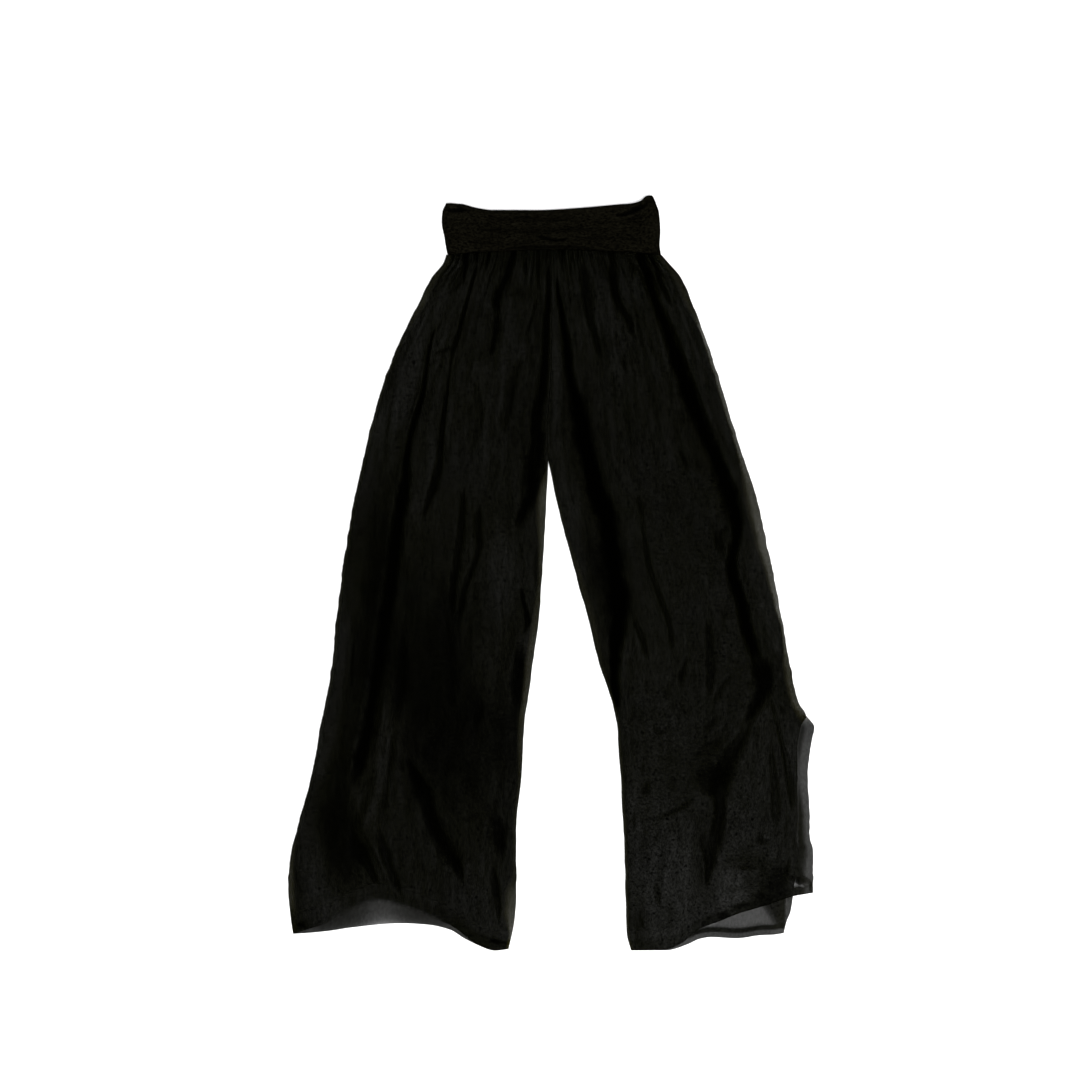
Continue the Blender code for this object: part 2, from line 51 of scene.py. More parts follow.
legs = {
    "left": {
        "side": -1,
        # height, outer edge, inner edge
        "sections": [
            (468, -150, 0), (451, -155, 0), (428, -173, 0), (396, -189, 1), (335, -219, 1),
            (265, -246, -2), (207, -262.3, -5.5), (162, -273, -4), (135, -279, -5), (80, -290, -8),
            (10, -301, -12), (-59, -310, -17), (-152, -320, -29.2), (-245, -338, -40.5),
            (-270, -342, -41), (-315, -352, -45), (-361, -365, -50), (-402, -376, -50.5),
            (-454, -381, -50), (-500, -377, -52.5), (-547, -370, -62),
        ],
        # across, height, from the outer edge to the inner one
        "frontHem": [(-373, -523), (-320, -505), (-291, -491), (-248, -478), (-219, -483.5), (-175, -500),
            (-151, -510), (-103, -541), (-81, -547), (-62, -545)],
        "backHem": [(-373, -523), (-349, -521.5), (-320, -518.5), (-291, -514), (-219, -507.7),
            (-183, -509.7), (-151, -517), (-129, -529.5), (-103, -541), (-81, -547), (-62, -545)],
        "backOuter": [],
        # height, distance of the lining's edge from the leg's edge
        "liningOuter": [(468, 8), (440, 11), (390, 11), (340, 6), (300, 4), (-380, 4), (-425, 7),
            (-452, 10.5), (-485, 10), (-547, 4)],
        "liningInner": [(150, 2), (128, 11), (98, 15.5), (69, 13), (40, 8), (11, 6.5), (-17, 5), (-46, 9),
            (-75, 11), (-104, 12), (-133, 12), (-162, 10.5), (-191, 9), (-220, 9), (-249, 8), (-278, 6),
            (-300, 4), (-416, 5), (-440, 7), (-460, 17), (-490, 19), (-510, 11), (-528, 3), (-547, 3)],
        # height, how sheer the outermost strip is
        "sheerOuter": [(468, 0.2), (430, 0.22), (390, 0.38), (352, 0.12), (308, 0.25), (280, 0.2),
            (-190, 0.18), (-240, 0.06), (-370, 0.08), (-420, 0.35), (-452, 0.5), (-480, 0.4), (-500, 0.1),
            (-547, 0.1)],
        "sheerInner": [(150, 0.3), (106, 0.62), (69, 0.55), (40, 0.56), (11, 0.44), (-17, 0.36),
            (-46, 0.36), (-75, 0.42), (-104, 0.54), (-133, 0.5), (-162, 0.54), (-191, 0.54), (-220, 0.42),
            (-249, 0.4), (-278, 0.3), (-300, 0.25), (-416, 0.15), (-445, 0.2), (-465, 0.55), (-490, 0.68),
            (-547, 0.9)],
        # across, how plainly the turned-up hem shows
        "hemShows": [(-373, 0.9), (-350, 0.4), (-330, 0.0), (-170, 0.0), (-140, 0.3), (-100, 0.8),
            (-62, 1.0)],
    },
    "right": {
        "side": 1,
        "sections": [
            (468, 154, 0), (451, 169, 0), (428, 188.5, 0), (396, 202.5, 1), (335, 225.5, 1),
            (265, 248.5, -2), (207, 266, -5.5), (162, 281, -4), (149, 285.5, -1), (120, 295, 5),
            (106, 298.5, 8), (80, 305, 14), (10, 319.5, 33), (-24, 327, 42), (-59, 333, 52),
            (-129, 346, 69.5), (-187, 358, 88.5), (-207, 370, 93.7), (-223, 381, 96.2), (-245, 378, 97.2),
            (-291, 372, 101), (-338, 374, 103), (-384, 376, 106), (-402, 380, 106.5), (-419, 380, 107),
            (-461, 380, 108), (-523, 380, 110), (-547, 380, 116),
        ],
        "frontHem": [(378, -463.5), (366, -465.5), (351, -468), (339, -471.5), (329, -475), (316, -480),
            (303, -484), (274, -493), (245, -505), (218, -515.5), (209, -522), (193, -535), (165, -545.5),
            (116, -547)],
        "backHem": [(333, -522), (318, -524.4), (303, -525), (289, -526.8), (281, -528.4), (267, -529.5),
            (248, -528.5), (234, -527.7), (216, -530.5), (209, -533.5), (201, -537.4), (165, -547),
            (116, -547)],
        "backOuter": [(-223, 361), (-271, 357), (-387, 357), (-467, 351), (-492, 347), (-504, 342),
            (-515, 339), (-547, 333)],
        "liningOuter": [(468, 12), (440, 16), (390, 13), (368, 8), (350, 4.6), (323, 6), (280, 6),
            (265, 7), (222, 6.5), (178, 7), (149, 11), (120, 17.5), (91, 21), (62, 18.7), (33, 17.5),
            (4, 13.5), (-24, 10.7), (-53, 7), (-82, 4), (-111, 5.3), (-140, 13), (-169, 12.5), (-198, 14),
            (-223, 22), (-300, 20), (-416, 22), (-547, 22)],
        "liningInner": [(150, 3), (48, 4), (-10, 10), (-68, 11), (-100, 9), (-126, 6), (-160, 3),
            (-547, 3)],
        "sheerOuter": [(468, 0.18), (440, 0.18), (400, 0.3), (376, 0.42), (355, 0.85), (340, 0.95),
            (323, 0.85), (294, 0.8), (265, 0.8), (236, 0.75), (207, 0.8), (178, 0.8), (149, 0.76),
            (120, 0.72), (91, 0.75), (62, 0.82), (33, 0.84), (4, 0.82), (-24, 0.84), (-53, 0.92),
            (-82, 0.7), (-111, 0.76), (-140, 0.66), (-169, 0.69), (-198, 0.8), (-223, -0.02),
            (-256, 0.06), (-547, 0.1)],
        "sheerInner": [(150, 0.12), (48, 0.18), (-2, 0.21), (-46, 0.22), (-89, 0.22), (-126, 0.18),
            (-480, 0.3), (-547, 0.3)],
        "hemShows": [(116, 0.3), (200, 0.35), (225, 0.7), (250, 0.9), (340, 1.0), (352, 0.18),
            (378, 0.18)],
    },
}

# soft waves of the side edges: each is a height, two sizes and a seed for softNoise
edges = {
    "outerWaves": [(0.7, 13.0, 1.0, 3), (0.5, 5.0, 1.0, 4)],
    "innerWaves": [(0.5, 11.0, 1.0, 5)],
    "innerLine": 7.0,           # the line of the noise that the inner edges follow
    "outerTop": (440, 410),     # heights between which the waves begin, from above and from below
    "outerFoot": (-460, -440),
    "innerTop": (140, 110),
    "innerFoot": (-500, -480),
}

# how the points of a leg panel's grid are spread
panel = {
    "sideCrowd": 0.35,
    "seamCrowd": 0.55, "seamReach": 0.08,
    "hemCrowd": 0.65, "hemReach": 0.05,
    "insetFade": 12.0,          # how far below the crotch an inset of the inner edge is whole
}


# value at each place on a smooth line through the knots that never overshoots them:
# cubic Hermite pieces, each inner tangent the weighted harmonic mean of its two slopes
def smoothLine(knots, values, at):
    order = np.argsort(knots)
    x = np.asarray(knots, float)[order]
    y = np.asarray(values, float)[order]
    step = np.diff(x)
    slope = np.diff(y) / step
    before = 2 * step[1:] + step[:-1]
    after = step[1:] + 2 * step[:-1]
    same = slope[:-1] * slope[1:] > 0
    first = np.where(same, slope[:-1], 1.0)
    second = np.where(same, slope[1:], 1.0)
    inner = np.where(same, (before + after) / (before / first + after / second), 0.0)
    tangent = np.concatenate((slope[:1], inner, slope[-1:]))
    at = np.clip(at, x[0], x[-1])
    k = np.clip(np.searchsorted(x, at, side="right") - 1, 0, len(x) - 2)
    t = (at - x[k]) / step[k]
    bend = tangent[k] * t * (1 - t) ** 2 + tangent[k + 1] * t ** 2 * (t - 1)
    return y[k] * (1 + 2 * t) * (1 - t) ** 2 + y[k + 1] * t ** 2 * (3 - 2 * t) + step[k] * bend


# the same through a list of (knot, value) pairs
def throughPairs(pairs, at):
    knots, values = zip(*pairs)
    return smoothLine(knots, values, at)


# 3t^2 - 2t^3 between 0 and 1
def smoothStep(value):
    t = np.clip(value, 0.0, 1.0)
    return t * t * (3 - 2 * t)


# smoothStep of the way from start to end: 0 before the start and 1 past the end
def rising(value, start, end):
    return smoothStep((value - start) / (end - start))


# sqrt(1 - (1 - t)^2): upright at 0 like the side of a circle, level at 1
def quarterRound(value):
    t = np.clip(value, 0.0, 1.0)
    return np.sqrt(1 - (1 - t) ** 2)


# soft random waves from -1 to 1: a value for each cell corner, blended with smoothStep
def softNoise(x, y, seed):
    cellX = np.floor(x).astype(np.int64)
    cellY = np.floor(y).astype(np.int64)
    blendX = smoothStep(x - cellX)
    blendY = smoothStep(y - cellY)

    def corner(i, j):
        mixed = (i * 374761393 + j * 668265263 + seed * 144269504) & 0xFFFFFFFF
        mixed = ((mixed ^ (mixed >> 13)) * 1274126177) & 0xFFFFFFFF
        return ((mixed ^ (mixed >> 16)) & 0xFFFF) / 32767.5 - 1

    low = corner(cellX, cellY) * (1 - blendX) + corner(cellX + 1, cellY) * blendX
    high = corner(cellX, cellY + 1) * (1 - blendX) + corner(cellX + 1, cellY + 1) * blendX
    return low * (1 - blendY) + high * blendY


# the sum of height * softNoise(x / sizeX, y / sizeY) over a list of waves
def softWaves(x, y, waves):
    return sum(height * softNoise(x / sizeX, y / sizeY, seed) for height, sizeX, sizeY, seed in waves)


# outer edge at a height: a smooth line through the sections, plus its waves
def outerEdge(leg, y, back=False):
    rows = [(row[0], row[1]) for row in leg["sections"]]
    if back and leg["backOuter"]:
        rows = [row for row in rows if row[0] > leg["backOuter"][0][0]] + leg["backOuter"]
    wave = softWaves(y, 0 * y, edges["outerWaves"])
    wave = wave * rising(y, *edges["outerTop"]) * rising(y, *edges["outerFoot"])
    return throughPairs(rows, y) + leg["side"] * wave


# inner edge: smooth lines through the sections, the centre seam above the crotch and the inseam, plus
# its waves, below it
def innerEdge(leg, y):
    above = [(row[0], row[2]) for row in leg["sections"] if row[0] >= waist["crotchY"]]
    below = [(row[0], row[2]) for row in leg["sections"] if row[0] <= waist["crotchY"]]
    wave = softWaves(y, 0 * y + edges["innerLine"], edges["innerWaves"])
    wave = wave * rising(y, *edges["innerTop"]) * rising(y, *edges["innerFoot"])
    middle = np.where(y > waist["crotchY"], throughPairs(above, y), throughPairs(below, y) + wave)
    return middle + leg["side"] * waist["seamGap"] / 2


# hem height by the share of the way from the outer edge to the inner one
def hemLine(points, share):
    first = points[0][0]
    last = points[-1][0]
    return throughPairs([((x - first) / (last - first), y) for x, y in points], share)


# waist seam height by the share of the way from the centre to a side: seamY - seamSag share^2
def seamLine(across):
    return waist["seamY"] - waist["seamSag"] * across ** 2


# grid of a leg panel: columns crowd towards both edges by t - crowd sin(2 pi t) / (2 pi), and rows
# towards the seam and the hem, where a step is shorter by crowd exp(-distance / reach);
# returns x, y, share and distance below the seam
def panelGrid(leg, hem, columns, rows, back=False, inset=None, shorter=0.0, higher=0.0):
    t = np.linspace(0, 1, columns)
    share = (t - panel["sideCrowd"] * np.sin(2 * np.pi * t) / (2 * np.pi))[None, :]
    v = np.linspace(0, 1, rows - 1)
    steps = 1 - panel["seamCrowd"] * np.exp(-v / panel["seamReach"])
    steps -= panel["hemCrowd"] * np.exp(-(1 - v) / panel["hemReach"])
    v = (np.concatenate(([0], np.cumsum(steps))) / steps.sum())[:, None]
    top = seamLine(1 - share) - waist["seamGap"] / 2 + higher
    y = top + (hemLine(hem, share) + shorter - top) * v
    outer = outerEdge(leg, y, back)
    inner = innerEdge(leg, y)
    if inset:
        outer = outer - leg["side"] * throughPairs(inset[0], y)
        below = rising(y, waist["crotchY"], waist["crotchY"] - panel["insetFade"])
        inner = inner + leg["side"] * throughPairs(inset[1], y) * below
    return outer + (inner - outer) * share, y, share + 0 * y, top - y


# how far inside the outer edge, the inner edge and the hem each point lies; above the crotch, where
# the legs are sewn together, the second is hypot(across, up) to the crotch
def panelDepths(leg, hem, x, y, share, back=False):
    outer = leg["side"] * (outerEdge(leg, y, back) - x)
    level = np.minimum(y, waist["crotchY"])
    inner = leg["side"] * (x - innerEdge(leg, level))
    inner = np.where(y > waist["crotchY"], np.hypot(inner, y - level), inner)
    return outer, inner, y - hemLine(hem, np.clip(share, 0, 1))


# points on a smooth curve through a crease's points (Catmull-Rom: each stretch a cubic of the four
# points around it), the share of its length that each lies at, and that length
def curveThrough(line, steps=10):
    points = np.array(line, float)
    ends = np.vstack((2 * points[0] - points[1], points, 2 * points[-1] - points[-2]))
    t = np.linspace(0, 1, steps, endpoint=False)[None, :, None]
    a, b, c, d = (ends[k:len(ends) - 3 + k, None, :] for k in range(4))
    pieces = 0.5 * (2 * b + (c - a) * t + (2 * a - 5 * b + 4 * c - d) * t ** 2
                    + (3 * b - a - 3 * c + d) * t ** 3)
    curve = np.vstack((pieces.reshape(-1, 2), points[-1:]))
    walked = np.concatenate(([0], np.cumsum(np.hypot(*np.diff(curve, axis=0).T))))
    return curve, walked / walked[-1], walked[-1]


# how every crease is shaped
creaseShape = {
    "shoulder": 0.9, "spread": 1.6,     # of a trough
    "reach": 3.2,                       # half widths past which it adds nothing
    "sewn": 60.0,                       # how far an end that is sewn in runs on under the band
    "tipWidths": 3.0, "tipShare": 0.35,         # where it dies out: half widths, and share of its length
    "narrowWidths": 5.0, "narrowShare": 0.5,    # where it narrows
    "shadeEdge": 1.55, "shadeBlur": 1.15,
    "raggedWaves": [(0.26, 4.5, 8.0, 61), (0.2, 11.0, 24.0, 62)],
}


# what creases add, each given as points with a half width, a height and a depth of painted shade:
# with q = (distance / half width)^2, a trough is height (1 - shoulder q) exp(-q / spread), which
# leaves low shoulders, and a ridge height exp(-q); both narrow and die out towards their ends,
# apart from an end that is sewn into the waist seam.
# Returns the height, and from -1 to 1 how far a point lies in a hollow (below 0) or on a crest,
# which sets the painted shade of a hollow and the painted sheen of a crest
def creaseField(x, y, creases):
    form = creaseShape
    height = np.zeros(x.shape)
    relief = np.zeros(x.shape)
    ragged = 1 + softWaves(x, y, form["raggedWaves"])
    for line, rise, shade in creases.values():
        curve, along, length = curveThrough([point[:2] for point in line])
        widths = np.interp(np.linspace(0, 1, len(curve)), np.linspace(0, 1, len(line)),
                           [point[2] for point in line])
        reach = form["reach"] * widths.max() + 2
        near = (x > curve[:, 0].min() - reach) & (x < curve[:, 0].max() + reach)
        near &= (y > curve[:, 1].min() - reach) & (y < curve[:, 1].max() + reach)
        if not near.any():
            continue
        start = curve[:-1]
        run = np.diff(curve, axis=0)
        toPoint = np.stack((x[near], y[near]), -1)[:, None, :] - start
        t = np.clip((toPoint * run).sum(-1) / (run ** 2).sum(-1), 0, 1)
        away = np.hypot(*np.moveaxis(toPoint - t[..., None] * run, -1, 0))
        nearest = away.argmin(-1)[:, None]
        place = np.take_along_axis(along[:-1] + t * np.diff(along), nearest, -1)[:, 0]
        width = np.interp(place, along, widths)
        sewn = form["sewn"] if line[0][1] > waist["seamY"] else 0.0
        tip = np.minimum(place * length + sewn, (1 - place) * length)
        ends = smoothStep(0.1 + tip / np.minimum(form["tipWidths"] * width + 3, form["tipShare"] * length))
        narrowing = np.minimum(form["narrowWidths"] * width + 4, form["narrowShare"] * length)
        width = width * (0.5 + 0.5 * smoothStep(tip / narrowing))
        distance = np.take_along_axis(away, nearest, -1)[:, 0] / width
        q = distance ** 2
        shape = (1 - form["shoulder"] * q) * np.exp(-q / form["spread"]) if rise < 0 else np.exp(-q)
        height[near] += rise * shape * ends
        core = shade * ends * smoothStep((form["shadeEdge"] - distance * ragged[near]) / form["shadeBlur"])
        if rise < 0:
            relief[near] = np.minimum(relief[near], -core)
        else:
            relief[near] = np.where(relief[near] < 0, relief[near], np.maximum(relief[near], core))
    return height, relief


placeWaves = [(0.24, 9.0, 20.0, 71), (0.2, 22.0, 45.0, 72)]


# ovals, each a centre, half sizes, a tilt in degrees and an amount, with soft and ragged edges:
# returns 1 - (1 - first) (1 - second) ..., each amount smoothStep((1 + blur / 2 - radius) / blur)
def placeField(x, y, places, blur=0.9, rough=1.0):
    left = np.ones(x.shape)
    ragged = rough * softWaves(x, y, placeWaves)
    for centreX, centreY, halfX, halfY, tilt, amount in places.values():
        turn = math.radians(tilt)
        u = ((x - centreX) * math.cos(turn) + (y - centreY) * math.sin(turn)) / halfX
        v = ((y - centreY) * math.cos(turn) - (x - centreX) * math.sin(turn)) / halfY
        left *= 1 - amount * smoothStep((1 + blur / 2 - np.hypot(u, v) - ragged) / blur)
    return 1 - left


# a sheet on a grid of points, (row, column) -> row * columns + column, as quads that face up or down;
# a wrapped one closes its last column onto its first; Solidify gives the cloth its thickness
def makeSheet(name, points, uv, thickness, material, masks, up=True, wrap=False):
    rows, columns = points.shape[:2]
    index = np.arange(rows * columns).reshape(rows, columns)
    if wrap:
        index = np.concatenate((index, index[:, :1]), 1)
    quads = np.stack((index[:-1, :-1], index[1:, :-1], index[1:, 1:], index[:-1, 1:]), -1).reshape(-1, 4)
    flat = points.reshape(-1, 3) * mm
    corner = flat[quads[len(quads) // 2]]
    facing = np.cross(corner[1] - corner[0], corner[2] - corner[0])[2] > 0
    if facing != up:
        quads = quads[:, ::-1]
    mesh = bpy.data.meshes.new(name)
    mesh.vertices.add(len(flat))
    mesh.vertices.foreach_set("co", flat.ravel())
    mesh.loops.add(quads.size)
    mesh.loops.foreach_set("vertex_index", quads.ravel().astype(np.int32))
    mesh.polygons.add(len(quads))
    mesh.polygons.foreach_set("loop_start", np.arange(0, quads.size, 4, dtype=np.int32))
    mesh.update(calc_edges=True)
    mesh.shade_smooth()
    layer = mesh.uv_layers.new(name="weave")
    layer.uv.foreach_set("vector", (uv.reshape(-1, 2)[quads.ravel()] * mm).ravel())
    for key, mask in masks.items():
        mesh.attributes.new(key, "FLOAT", "POINT").data.foreach_set("value", mask.ravel())
    mesh.materials.append(material)
    piece = bpy.data.objects.new(name, mesh)
    bpy.context.scene.collection.objects.link(piece)
    wall = piece.modifiers.new("cloth", "SOLIDIFY")
    wall.thickness = thickness * mm
    wall.offset = 0.0
    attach(piece, "root")
    print(name, len(flat), "points")
    return piece


# a node of that kind with its settings, and its sockets set to a value or joined to an output
def addNode(tree, kind, sockets=None, **settings):
    node = tree.nodes.new("ShaderNode" + kind)
    for key, value in settings.items():
        setattr(node, key, value)
    for key, value in (sockets or {}).items():
        if isinstance(value, bpy.types.NodeSocket):
            tree.links.new(value, node.inputs[key])
        else:
            node.inputs[key].default_value = value
    return node


# one arithmetic step; returns its output
def calc(tree, operation, *values):
    return addNode(tree, "Math", dict(enumerate(values)), operation=operation).outputs[0]


# values multiplied together, from the first to the last
def product(tree, first, *others):
    for value in others:
        first = calc(tree, "MULTIPLY", first, value)
    return first


# a value moved from one range to another and held inside it
def remap(tree, value, low, high, toLow=0.0, toHigh=1.0):
    return addNode(tree, "MapRange", {0: value, 1: low, 2: high, 3: toLow, 4: toHigh}).outputs[0]


# one of the masks that makeSheet writes
def readMask(tree, name):
    return addNode(tree, "Attribute", attribute_name=name).outputs["Fac"]


# noise over two of the weave's parts, each multiplied by its own scale
def stretchedNoise(tree, parts, across, along, detail, roughness, distortion):
    sockets = {0: product(tree, parts[0], across), 1: product(tree, parts[1], along)}
    scaled = addNode(tree, "CombineXYZ", sockets)
    return addNode(tree, "TexNoise", {
        "Vector": scaled.outputs[0], "Scale": 1.0,
        "Detail": detail, "Roughness": roughness, "Distortion": distortion,
    }).outputs[0]


# mixes two colours by a mask
def mixColours(tree, mask, first, second):
    return addNode(tree, "Mix", {0: mask, 6: first, 7: second}, data_type="RGBA").outputs[2]


# a bump in metres from a height, on the shader's normal
def addBump(tree, shader, look, height):
    sockets = {"Strength": look["bump"], "Distance": look["relief"] * mm, "Height": height}
    tree.links.new(addNode(tree, "Bump", sockets).outputs[0], shader.inputs["Normal"])


# a node group with named number and vector sockets
def newGroup(name, inputs, outputs):
    group = bpy.data.node_groups.new(name, "ShaderNodeTree")
    for key, value in inputs.items():
        kind = "NodeSocketVector" if value is None else "NodeSocketFloat"
        socket = group.interface.new_socket(key, in_out="INPUT", socket_type=kind)
        if value is not None:
            socket.default_value = value
    for key in outputs:
        group.interface.new_socket(key, in_out="OUTPUT", socket_type="NodeSocketFloat")
    return group, group.nodes.new("NodeGroupInput").outputs, group.nodes.new("NodeGroupOutput").inputs


# crinkle and weave of a woven cloth: stretched noise, plus sin(2 pi n u) sin(2 pi n v) threads
def makeClothGrain():
    inputs = {"Vector": None, "Threads": 3200.0, "Across": 260.0, "Along": 70.0, "Thread Share": 0.2}
    group, given, result = newGroup("clothGrain", inputs, ["Height", "Mask"])
    parts = addNode(group, "SeparateXYZ", {0: given["Vector"]}).outputs
    crinkle = stretchedNoise(group, parts, given["Across"], given["Along"],
                             detail=5.0, roughness=0.62, distortion=0.6)
    turns = product(group, given["Threads"], 2 * math.pi)
    warp = calc(group, "SINE", product(group, parts[0], turns))
    weft = calc(group, "SINE", product(group, parts[1], turns))
    threads = product(group, warp, weft, given["Thread Share"])
    group.links.new(calc(group, "ADD", crinkle, threads), result["Height"])
    group.links.new(crinkle, result["Mask"])
    return group


# slow, cloudy variation from 0 to 1, as of cloth that clings in some places and lifts in others
def makeSoftMottle():
    group, given, result = newGroup("softMottle", {"Vector": None, "Scale": 9.0}, ["Mask"])
    cloud = addNode(group, "TexNoise", {
        "Vector": given["Vector"], "Scale": given["Scale"], "Detail": 3.0, "Roughness": 0.55,
    }).outputs[0]
    group.links.new(remap(group, cloud, 0.32, 0.68), result["Mask"])
    return group


clothGrain = makeClothGrain()
softMottle = makeSoftMottle()


# the mottle over an object, from a lowest value to 1
def addMottle(tree, scale, lowest):
    place = addNode(tree, "TexCoord").outputs["Object"]
    mottle = addNode(tree, "Group", {"Vector": place, "Scale": scale}, node_tree=softMottle)
    return remap(tree, mottle.outputs["Mask"], 0.0, 1.0, lowest)


# a material with its shader; returns the material, its tree and the shader
def newMaterial(name, look):
    material = bpy.data.materials.new(name)
    material.use_nodes = True
    shader = material.node_tree.nodes["Principled BSDF"]
    shader.inputs["Specular IOR Level"].default_value = look["gloss"]
    shader.inputs["Roughness"].default_value = look["rough"]
    return material, material.node_tree, shader


# sheer crinkled cloth: dull and olive black by itself, with painted sheen, as coat and paler colour, where
# the shine mask is high and painted shade where it is low, paler still in the sheer strips as painted light
# from the floor; more see-through where the sheer mask says and closer where it is doubled
def makeChiffon(name, look):
    material, tree, shader = newMaterial(name, look)
    weave = addNode(tree, "UVMap", uv_map="weave").outputs[0]
    grain = addNode(tree, "Group", {"Vector": weave, **look["grain"]}, node_tree=clothGrain)
    parts = addNode(tree, "SeparateXYZ", {0: weave}).outputs
    streaks = stretchedNoise(tree, parts, look["streakAcross"], look["streakAlong"],
                             detail=4.0, roughness=0.6, distortion=0.8)
    streaks = remap(tree, streaks, 0.34, 0.62, look["streakLow"])
    crepe = stretchedNoise(tree, parts, look["crepeAcross"], look["crepeAlong"],
                           detail=2.0, roughness=0.7, distortion=0.8)
    crepe = remap(tree, crepe, 0.3, 0.7, 0.0, look["crepeHigh"])
    # the shine mask holds painted sheen and painted shade; here it weights the coat
    paintedSheenLevel = readMask(tree, "shine")
    shine = product(tree, paintedSheenLevel, product(tree, streaks, crepe), look["shine"])
    tree.links.new(shine, shader.inputs["Coat Weight"])
    shader.inputs["Coat Roughness"].default_value = look["shineRough"]
    # painted sheen in the colour too: the base is paler where the shine mask is high
    paintedSheenTint = remap(tree, paintedSheenLevel, 0.0, 0.45)
    tint = product(tree, addMottle(tree, look["mottle"], 0.5), crepe, paintedSheenTint)
    shade = mixColours(tree, tint, look["dark"], look["pale"])
    # painted light: the sheer strips take the paler single colour, as if lit through from the floor
    shade = mixColours(tree, readMask(tree, "strip"), shade, look["single"])
    tree.links.new(shade, shader.inputs["Base Color"])
    alpha = calc(tree, "SUBTRACT", look["alpha"], product(tree, readMask(tree, "sheer"), look["sheerDrop"]))
    alpha = calc(tree, "ADD", alpha, product(tree, readMask(tree, "dense"), look["denseGain"]))
    flecks = product(tree, calc(tree, "SUBTRACT", grain.outputs["Mask"], 0.5), look["flecks"])
    alpha = calc(tree, "MINIMUM", calc(tree, "ADD", alpha, flecks), 1.0)
    tree.links.new(calc(tree, "MAXIMUM", alpha, 0.0), shader.inputs["Alpha"])
    addBump(tree, shader, look, grain.outputs["Height"])
    return material


# opaque plain lining with a faint weave
def makeLiningCloth(name, look):
    material, tree, shader = newMaterial(name, look)
    weave = addNode(tree, "UVMap", uv_map="weave").outputs[0]
    grain = addNode(tree, "Group", {"Vector": weave, **look["grain"]}, node_tree=clothGrain)
    shade = mixColours(tree, grain.outputs["Mask"], look["dark"], look["pale"])
    tree.links.new(shade, shader.inputs["Base Color"])
    addBump(tree, shader, look, grain.outputs["Height"])
    return material


# fine jersey: upright wales of small chevrons, |sin(pi n u)| crossed by sin(2 pi m v + slant), with
# paler slubs, and painted shade in its creases and along its seam
def makeJersey(name, look):
    material, tree, shader = newMaterial(name, look)
    weave = addNode(tree, "UVMap", uv_map="weave").outputs[0]
    parts = addNode(tree, "SeparateXYZ", {0: weave}).outputs
    wander = addNode(tree, "TexNoise", {"Vector": weave, "Scale": look["wander"], "Detail": 2.0}).outputs[0]
    wale = product(tree, parts[0], look["wales"] * math.pi)
    wale = calc(tree, "ADD", wale, product(tree, wander, look["wanderTurn"]))
    wale = calc(tree, "ABSOLUTE", calc(tree, "SINE", wale))
    course = product(tree, parts[1], look["courses"] * 2 * math.pi)
    course = calc(tree, "SINE", calc(tree, "ADD", course, product(tree, wale, look["slant"])))
    knit = calc(tree, "ADD", wale, product(tree, course, look["courseShare"]))
    slub = stretchedNoise(tree, parts, look["slubAcross"], look["slubAlong"],
                          detail=2.0, roughness=0.7, distortion=1.0)
    slub = remap(tree, slub, 0.38, 0.66)
    loops = remap(tree, knit, 0.0, 1.1, 0.35)
    tint = product(tree, addMottle(tree, look["mottle"], 0.6), loops, slub)
    shade = mixColours(tree, tint, look["dark"], look["pale"])
    # painted shade: the deep colour where the fold mask marks a crease or the seam
    shade = mixColours(tree, readMask(tree, "fold"), shade, look["deep"])
    tree.links.new(shade, shader.inputs["Base Color"])
    addBump(tree, shader, look, knit)
    return material


chiffonLook = {
    "dark": (0.00012, 0.00012, 0.00003, 1.0),
    "pale": (0.0014, 0.0015, 0.0003, 1.0),
    # single: painted light, paler as if the floor lit the one layer through from below
    "single": (0.011, 0.0102, 0.001, 1.0),      # where only one layer lies over the floor
    "gloss": 0.0, "rough": 0.62,
    "shine": 0.066, "shineRough": 0.42,
    "alpha": 0.62, "sheerDrop": 0.32, "denseGain": 0.3, "flecks": 0.18,    # for each face of the wall
    "sheerMost": 1.94,          # a sheer mask of this much leaves almost nothing of the cloth
    "grain": {"Threads": 3200.0, "Across": 330.0, "Along": 170.0, "Thread Share": 0.15},
    "streakAcross": 90.0, "streakAlong": 26.0, "streakLow": 0.6,
    "crepeAcross": 300.0, "crepeAlong": 310.0, "crepeHigh": 2.0,
    "mottle": 9.0, "bump": 1.0, "relief": 0.3,
}
liningLook = {
    "dark": (0.0003, 0.0003, 0.0002, 1.0),
    "pale": (0.0006, 0.0006, 0.0005, 1.0),
    "gloss": 0.01, "rough": 0.5,
    "grain": {"Threads": 2600.0, "Across": 90.0, "Along": 40.0},
    "bump": 0.6, "relief": 0.1,
}
jerseyLook = {
    "dark": (0.0004, 0.00035, 0.00016, 1.0),
    "pale": (0.0082, 0.0075, 0.0046, 1.0),
    # painted shade in the band's creases and along its seam
    "deep": (0.0001, 0.0001, 0.00005, 1.0),
    "gloss": 0.0, "rough": 0.6,
    "wales": 640.0, "courses": 620.0,           # in a metre
    "wander": 70.0, "wanderTurn": 1.6, "slant": 2.4, "courseShare": 0.3,
    "slubAcross": 240.0, "slubAlong": 340.0,
    "mottle": 22.0, "bump": 1.0, "relief": 0.22,
}
chiffon = makeChiffon("sheerCrinkle", chiffonLook)
liningCloth = makeLiningCloth("liningCloth", liningLook)
jersey = makeJersey("fineJersey", jerseyLook)
print("materials made")

